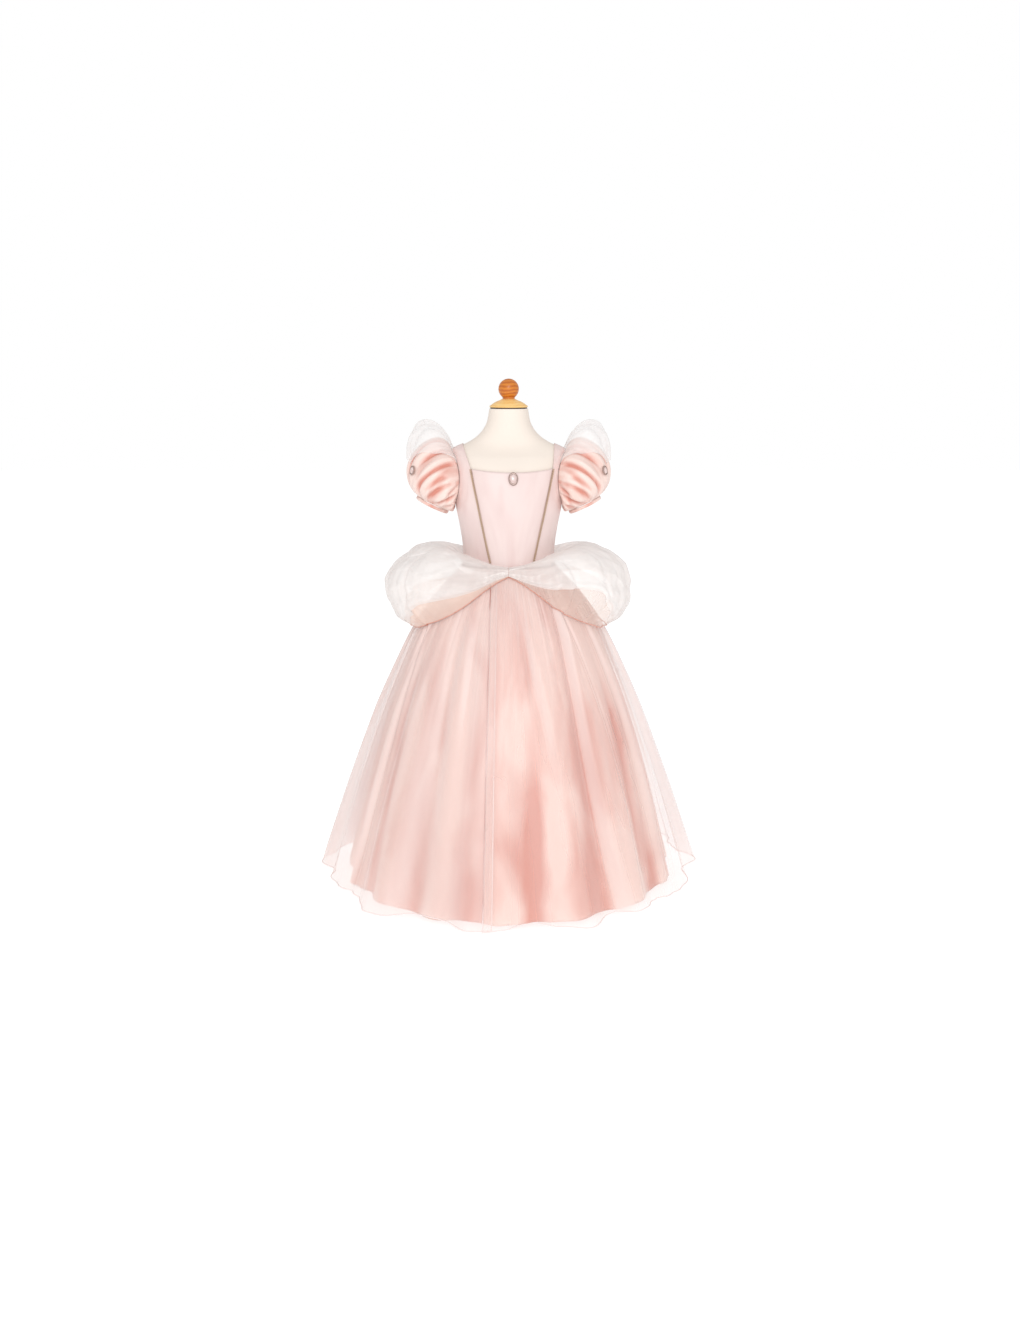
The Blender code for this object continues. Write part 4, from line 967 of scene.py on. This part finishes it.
white_organza = organza_cloth("white_organza_doubled", "#FAF5F2", (0.08, 0.05))
single_organza = organza_cloth("white_organza_single", "#FCE2D4", (0.08, 0.05))
peach_thread = satin_cloth("peach_thread", "#E2A594", "#D18F7E", 0.5, 0.1)
DOUBLE_COVER = 0.60
SINGLE_COVER = {"left": 0.30, "right": 0.62}
DOUBLE_CROWDING, SINGLE_CROWDING = 3.0, 1.0
FOLD_LIP = 0.0045  # how far the doubled part hangs proud of the single layer at the fold
azimuth = np.linspace(math.radians(PANNIER_SECTIONS[0][0]), math.pi - PANNIER_BACK_GAP, 260)[None, :]
outward = level_way(azimuth)
upper_share = np.linspace(0, 1, 110)[:, None]
lower_share = np.linspace(0, 1, 36)[:, None]
for side, sign in (("left", 1), ("right", -1)):
    fold = smooth_curve(PANNIER_FOLDS, 1 if side == "left" else 2, from_front(azimuth))
    upper_along = upper_share * fold
    lower_along = fold - 0.02 + (1 - fold + 0.02) * lower_share
    upper, lower = pannier(azimuth, upper_along, sign), pannier(azimuth, lower_along, sign)
    smooth_upper = pannier(azimuth, upper_along, sign, False)
    smooth_lower = pannier(azimuth, lower_along, sign, False)
    upper_cover = cover(upper, smooth_upper, DOUBLE_COVER, DOUBLE_CROWDING)
    lower_cover = cover(lower, smooth_lower, SINGLE_COVER[side], SINGLE_CROWDING)
    near_fold = np.clip((upper_share - 0.90) / 0.10, 0, 1)
    upper = upper + (FOLD_LIP * np.sin(np.pi * near_fold) * near_fold**0.5)[..., None] * outward
    lower = lower - (0.0018 * (1 - lower_share))[..., None] * outward
    seam = tube(lower[-1], outward[0], 0.0009, 6)[:, ::-1]
    shapes = [on_side(side, grid) for grid in (upper[::-1], lower[::-1], seam)]
    covers = [on_side(side, grid) for grid in (upper_cover[::-1], lower_cover[::-1])]
    top = surface(f"pannier_puff_{side}", shapes[0], cover=covers[0])
    finish_piece(top, white_organza, "white_organza", f"pannier_{side}")
    band = surface(f"pannier_band_{side}", shapes[1], cover=covers[1])
    finish_piece(band, single_organza, "white_organza", f"pannier_{side}")
    seam = surface(f"pannier_seam_{side}", shapes[2], closed=True, caps=True)
    finish_piece(seam, peach_thread, "white_organza")

# ---- Puffed sleeves ----
# Each sleeve is a wide puff of pink satin gathered into the armhole and into a narrow cuff
# band, so that deep creases run from one to the other.

ARMHOLE_GAP = 0.0003
CUFF_CENTRE = (0.1480, -0.002, 0.7475)
CUFF_RADIUS = 0.0330
CUFF_HALF_DEPTH = 0.0360
CUFF_TILT = math.radians(64)
PUFF_FULLNESS_ROOT = (0.030, 0.060)
PUFF_FULLNESS_END = (0.022, 0.079)
PUFF_TIGHTNESS = 0.18
PUFF_FORWARD_SHARE = 0.85
PUFF_GATHERS = 11
PUFF_GATHER_DEPTH = 0.0056
CUFF_START = SEAM_GAP + 0.0004  # along the cuff's axis, just past the puff's end
CUFF_LENGTH = 0.0062
BAND_THICKNESS = 0.0014
SLEEVE_BROOCH_AT = (2 * math.pi / PUFF_GATHERS, 4 / 6)
# Sharp creases over the puff: the angle of each at the armhole and at the cuff, how far it bows
# between, from which share of the way to which, its depth in gathers, its width, and where its
# lip stands.
SLEEVE_CREASES = (
    # angle_armhole, angle_cuff, bow, from_share, to_share, depth, width_deg, lip_side
    (20, 8, 0, 0.05, 0.80, 0.7, 3.5, -1),
    (44, 24, 4, 0.02, 0.60, 0.9, 3.5, -1),
    (66, 42, 6, 0.02, 0.95, 1.3, 3.4, -1),
    (84, 58, 4, 0.25, 0.90, 0.7, 3.2, -1),
    (98, 70, 4, 0.15, 1.02, 0.95, 3.8, -1),
    (112, 96, 0, 0.02, 0.55, 1.2, 4.2, -1),
    (126, 92, 4, 0.04, 0.98, 1.3, 4.6, -1),
    (142, 118, 0, 0.40, 1.00, 0.8, 4.0, -1),
    (160, 150, 3, 0.05, 0.90, 0.7, 5.0, -1),
    (196, 190, 0, 0.10, 0.95, 0.9, 5.0, -1),
    (226, 238, 2, 0.05, 0.80, 1.0, 4.5, -1),
    (252, 268, 4, 0.02, 0.95, 1.2, 4.0, -1),
    (280, 300, 0, 0.20, 0.98, 0.9, 4.0, -1),
    (310, 326, 0, 0.04, 0.70, 1.0, 4.0, -1),
    (338, 348, 2, 0.30, 0.95, 0.8, 4.0, -1),
)


def armhole_ring(angle, out):
    """The armhole on the left of the bodice: an ellipse laid on the torso. Angle 0 is its top,
    and it turns towards the front."""
    height = ARMHOLE_MIDDLE_Z + ARMHOLE_HALF_HEIGHT * np.cos(angle)
    depth = smooth_curve(TORSO_SECTIONS, 2, height)
    azimuth = math.pi / 2 - np.arcsin(ARMHOLE_HALF_DEPTH * np.sin(angle) / depth)
    return torso(azimuth, height, out)


CUFF_RISE = np.array([math.sin(CUFF_TILT), 0.0, math.cos(CUFF_TILT)])
CUFF_AXIS = np.array([math.cos(CUFF_TILT), 0.0, -math.sin(CUFF_TILT)])
FORWARD = np.array([0.0, -1.0, 0.0])


def cuff_ring(angle, grow=0.0, along=0.0):
    """The cuff of the left sleeve: a tilted ellipse, grown and moved along its own axis."""
    rise = ((CUFF_RADIUS + grow) * np.cos(angle))[..., None] * CUFF_RISE
    forward = ((CUFF_HALF_DEPTH + grow) * np.sin(angle))[..., None] * FORWARD
    return np.array(CUFF_CENTRE) + along * CUFF_AXIS + rise + forward


def puff(angle, along, gathered=True):
    """The left puff: at each angle a cubic curve leaves the armhole outwards, swells and comes
    back to the cuff, fullest over the top of the arm. Gathers stand straight out from it."""
    angle, along = np.broadcast_arrays(angle, along)
    root = armhole_ring(angle, BODICE_OUT + ARMHOLE_GAP)
    end = cuff_ring(angle)
    full = PUFF_TIGHTNESS + (1 - PUFF_TIGHTNESS) * (0.5 + 0.5 * np.cos(angle)) ** 0.8
    full = full[..., None]
    spoke = np.stack([0 * angle, -PUFF_FORWARD_SHARE * np.sin(angle), np.cos(angle)], axis=-1)
    leaving = np.cos(angle)[..., None] * CUFF_RISE
    leaving = leaving + PUFF_FORWARD_SHARE * np.sin(angle)[..., None] * FORWARD
    out, about = PUFF_FULLNESS_ROOT
    handle_a = root + full * (out * np.array([1.0, 0.0, 0.0]) + about * spoke)
    back, about = PUFF_FULLNESS_END
    handle_b = end + full * (about * leaving - back * CUFF_AXIS)
    curve = cubic(root, handle_a, handle_b, end, along[..., None])
    if not gathered:
        return curve
    return curve + puff_swell(angle, along, full[..., 0])[..., None] * puff_facing(angle, along)


def puff_swell(angle, along, full):
    """The gathers of the puff: rounded crests and troughs that fan from the outer end to the
    armhole, sharp creases from the table, and finer crumples that run between them."""
    phase = PUFF_GATHERS * (angle - 0.30 * (along - SLEEVE_BROOCH_AT[1])) + 0.9 * np.sin(2 * angle)
    wave = 0.45 * np.cos(phase)
    wave = wave + troughs(SLEEVE_CREASES, angle, along, (0.12, 0.15), (0.5, 2.1, 1.3))
    fine = np.sin(31 * angle + 5 * along + 2 * np.sin(3 * angle + 4 * along))
    wave = wave + 0.13 * fine * np.sin(2.5 * angle + 3 * along + 1)
    return PUFF_GATHER_DEPTH * wave * np.sin(np.pi * along) ** 0.5 * full**0.3


def puff_facing(angle, along):
    """The direction in which the smooth puff faces: around it crossed with along it."""
    step = 1e-3
    low, high = np.clip(along - step, 0, 1), np.clip(along + step, 0, 1)
    turning = puff(angle + step, along, False) - puff(angle - step, along, False)
    normal = np.cross(turning, puff(angle, high, False) - puff(angle, low, False))
    return normal / np.linalg.norm(normal, axis=-1, keepdims=True)


sleeve_satin = satin_cloth("gathered_pink_satin", "#F9DFD6", "#DD9686", 0.36, 0.25, (0.03, 0.05))
angle = circle(300)
along = np.linspace(0, 1, 70)[:, None]
left_puff = puff(angle, along)
# Painted shade deepens the puff's creases, and a faint painted highlight pales its crests.
left_painted_shade = 0.33 * np.clip(-puff_swell(angle, along, 1.0) / PUFF_GATHER_DEPTH, -0.5, 1.2) - 0.05
ring, cuff = circle(72), []
for share in np.linspace(0, 1, 9):
    bulge = 0.0006 + 0.0008 * math.sin(math.pi * share)
    cuff.append(cuff_ring(ring, bulge, CUFF_START + CUFF_LENGTH * share))
cuff = np.concatenate(cuff)
for side in ("left", "right"):
    puff_points, fold = on_side(side, left_puff), on_side(side, left_painted_shade)
    sleeve = wall(surface(f"sleeve_{side}", puff_points, closed=True, fold=fold), 0.0008)
    finish_piece(sleeve, sleeve_satin, "sleeve_satin", f"sleeve_puff_{side}")
    band = wall(surface(f"cuff_{side}", on_side(side, cuff), closed=True), BAND_THICKNESS)
    finish_piece(band, sleeve_satin, "sleeve_satin", f"cuff_band_{side}")

# ---- Organza crests over the sleeves ----
# A second, stiffer puff of white organza is sewn into each armhole with the sleeve. It stands up
# over the sleeve's top and back like a small wing, and comes down over part of its front.

CREST_FRONT = (math.radians(62), math.radians(18))
CREST_BACK = math.radians(-105)
CREST_SPAN = (0.03, 0.64)
CREST_RISE = 0.034
CREST_LEAN = (0.12, 0.62)
CREST_FORWARD_SHARE = 0.8
CREST_GATHERS = 6
CREST_GATHER_DEPTH = 0.0026


def crest(across, share, crumpled=True):
    """The left crest: the puff's own surface lifted by a dome, with gathers and crumples."""
    across, share = np.broadcast_arrays(across, share)
    along = CREST_SPAN[0] + (CREST_SPAN[1] - CREST_SPAN[0]) * share
    front = CREST_FRONT[0] + (CREST_FRONT[1] - CREST_FRONT[0]) * share
    angle = CREST_BACK + (front - CREST_BACK) * across
    reach = np.sin(np.pi * np.clip(across, 0, 1) ** 1.3) ** 0.7
    gathers = CREST_GATHER_DEPTH * np.cos(2 * np.pi * CREST_GATHERS * across)
    twist = 2.3 * across + 1.6 * share + 0.35 * np.sin(6 * share + 3 * across)
    gathers = gathers + 0.0008 * np.sin(2 * np.pi * twist)
    if not crumpled:
        gathers = 0.0
    lift = np.sin(np.pi * np.clip(share, 0, 1) ** 1.1) ** 0.7
    lean = CREST_LEAN[0] + (CREST_LEAN[1] - CREST_LEAN[0]) * share
    up = np.stack([lean, -CREST_FORWARD_SHARE * np.sin(angle), np.cos(angle)], axis=-1)
    raised = (lift * reach * (CREST_RISE + gathers))[..., None] * up
    clear = ORGANZA_WALL + 3 * SEAM_GAP + 0.0012
    return puff(angle, along) + clear * puff_facing(angle, along) + raised


crest_organza = organza_cloth("white_organza_crest", "#FDFBFA", (0.05, 0.05))
CREST_COVER = 0.42
CREST_CROWDING = 2.0
across, share = np.linspace(0, 1, 160)[None, :], np.linspace(0, 1, 70)[:, None]
left_crest = crest(across, share)
left_stops = cover(left_crest, crest(across, share, False), CREST_COVER, CREST_CROWDING)
for side in ("left", "right"):
    stops = on_side(side, left_stops)
    wing = surface(f"sleeve_wing_{side}", on_side(side, left_crest), cover=stops)
    finish_piece(wing, crest_organza, "white_organza", f"sleeve_crest_{side}")

# ---- Brooches ----
# Three oval brooches of antiqued pewter, one under the neckline and one at the end of each
# sleeve. Each has a beaded rim round a pearl cabochon and is stitched through its back.

BROOCH_SIZE = (0.0096, 0.0130, 0.0030)
SLEEVE_BROOCH_SIZE = (0.0072, 0.0094, 0.0026)
BROOCH_Z = 0.7985
STONE_SHARE = 0.70
STONE_HEIGHT = 0.0034
BEADS = 22

# Antiqued pewter: a warm grey metal, dull in its hollows, and a pearl of coated glass.
antiqued = {"Base Color": linear("#B9A49D"), "Metallic": 0.7, "Roughness": 0.35}
pewter, _, _ = material("antique_pewter", antiqued)
pearl, tree, shader = material("pearl_glass", {"Roughness": 0.16, "Coat Weight": 0.7})
place = add(tree, "TexCoord").outputs["Object"]
clouds = add(tree, "TexNoise", {"Vector": place, "Scale": 1 / 0.006, "Detail": 1.0})
tones = add(tree, "ValToRGB", {"Fac": clouds.outputs["Fac"]})
tones.color_ramp.elements[0].color = linear("#D3B1AA")
tones.color_ramp.elements[1].color = linear("#F2E3E0")
tree.links.new(tones.outputs["Color"], shader.inputs["Base Color"])


def ball(centre, radius, rows=8, sides=12):
    """A bead: a sphere of rows by sides, with small flat poles."""
    fall = np.linspace(math.pi - 0.2, 0.2, rows)
    return centre + radius * spun(np.stack([np.sin(fall), np.cos(fall)], axis=-1), sides)


def placed(points, size, place, normal):
    """Points of a round brooch made oval and turned so that +Z points along the normal."""
    normal = normal / np.linalg.norm(normal)
    side = np.cross([0.0, 0.0, 1.0], normal)
    side /= np.linalg.norm(side)
    up = np.cross(normal, side)
    oval = size[0] / size[1]
    return place + points[..., :1] * oval * side + points[..., 1:2] * up + points[..., 2:] * normal


def brooch(name, node, size, place, normal):
    """A turned dish and a domed stone made oval, with beads standing round the rim."""
    radius, thick = size[1], size[2]
    stone, dish = STONE_SHARE * size[1], 0.5 * size[2]
    profile = (
        (radius * 0.96, 0.0),
        (radius, thick * 0.4),
        (radius * 0.97, thick * 0.8),
        ((stone + radius) / 2, thick),
        (stone + SEAM_GAP * 1.5, thick * 0.9),
        (stone + SEAM_GAP, dish),
    )
    points = placed(spun(profile, 48), size, place, normal)
    parts = [surface(f"{name}_dish", points, closed=True, caps=True, sharp=40)]
    for number in range(BEADS):
        at = 2 * math.pi * number / BEADS
        middle = np.array([math.sin(at), -math.cos(at), 0.0]) * (radius * 0.89) + [0, 0, thick]
        points = placed(ball(middle, radius * 0.105), size, place, normal)
        parts.append(surface(f"{name}_bead", points, closed=True, caps=True))
    finish_piece(joined(f"{name}_rim", parts), pewter, "pewter", f"{node}_setting")
    fall = np.linspace(math.pi / 2, 0.03, 16)
    dome = np.stack([stone * np.sin(fall), dish + SEAM_GAP + STONE_HEIGHT * np.cos(fall)], axis=-1)
    points = placed(spun(dome, 48), size, place, normal)
    cabochon = surface(f"{name}_pearl", points, closed=True, caps=True, sharp=60)
    finish_piece(cabochon, pearl, "pearl", f"{node}_stone")


middle = np.array(BODICE_TURN)
chest = torso(middle, BROOCH_Z, BODICE_OUT + SEAM_GAP)
brooch("front_brooch", "brooch_front", BROOCH_SIZE, chest, facing(middle, BROOCH_Z))
at = (np.array(SLEEVE_BROOCH_AT[0]), np.array(SLEEVE_BROOCH_AT[1]))
normal = puff_facing(*at)
place = puff(*at) + normal * 0.0006
brooch("left_brooch", "brooch_sleeve_left", SLEEVE_BROOCH_SIZE, place, normal)
brooch("right_brooch", "brooch_sleeve_right", SLEEVE_BROOCH_SIZE, place * FLIP, normal * FLIP)

# ---- Floor, light and camera ----
# A softly glowing white table in a white room, one large lamp in front and above, and the camera
# a little over the neck's height, tilted down.

floor_mesh = bpy.data.meshes.new("floor")
reach = 12.0
corners = [(-reach, -reach), (reach, -reach), (reach, reach), (-reach, reach)]
floor_mesh.from_pydata([(x, y, -0.0005) for x, y in corners], [], [(0, 1, 2, 3)])
floor = in_scene("floor", floor_mesh)
# Opal acrylic lit from below, as under product photographs: it shows as white, with soft shadows.
glow = {"Emission Color": (1.0, 1.0, 1.0, 1.0), "Emission Strength": 0.8}
lit = {"Base Color": (0.35, 0.35, 0.35, 1.0), "Roughness": 0.8, **glow}
table, _, _ = material("lit_opal_acrylic", lit)
floor_mesh.materials.append(table)

# The room is white to the eye, and lights the dress with about two thirds of that.
ROOM_LIGHT = 0.66
world = bpy.data.worlds.new("white_room")
world.use_nodes = True
tree = world.node_tree
seen = add(tree, "LightPath").outputs["Is Camera Ray"]
strength = add(tree, "MapRange", {"Value": seen, "To Min": ROOM_LIGHT, "To Max": 1.0})
room = tree.nodes["Background"]
room.inputs["Color"].default_value = (1.0, 1.0, 1.0, 1.0)
tree.links.new(strength.outputs["Result"], room.inputs["Strength"])
bpy.context.scene.world = world

lamp_data = bpy.data.lights.new("key_lamp", "AREA")
lamp_data.shape = "SQUARE"
lamp_data.size = 1.6
lamp_data.energy = 62.0
lamp = in_scene("key_lamp", lamp_data)
lamp.location = (0.0, -3.65, 2.6)
down_to_skirt = (lamp.location - Vector((0.0, 0.0, 0.5))).to_track_quat("Z", "Y")
lamp.rotation_euler = down_to_skirt.to_euler()

camera_data = bpy.data.cameras.new("camera")
camera_data.sensor_width = 36.0
camera_data.lens = 41.58
camera = in_scene("camera", camera_data)
camera.location = (0.0026, -3.0, 1.0115)
camera.rotation_euler = (math.radians(90 - 10.91), 0.0, 0.0)  # tilted down by 10.91 degrees
bpy.context.scene.camera = camera
bpy.context.scene.view_settings.view_transform = "Standard"
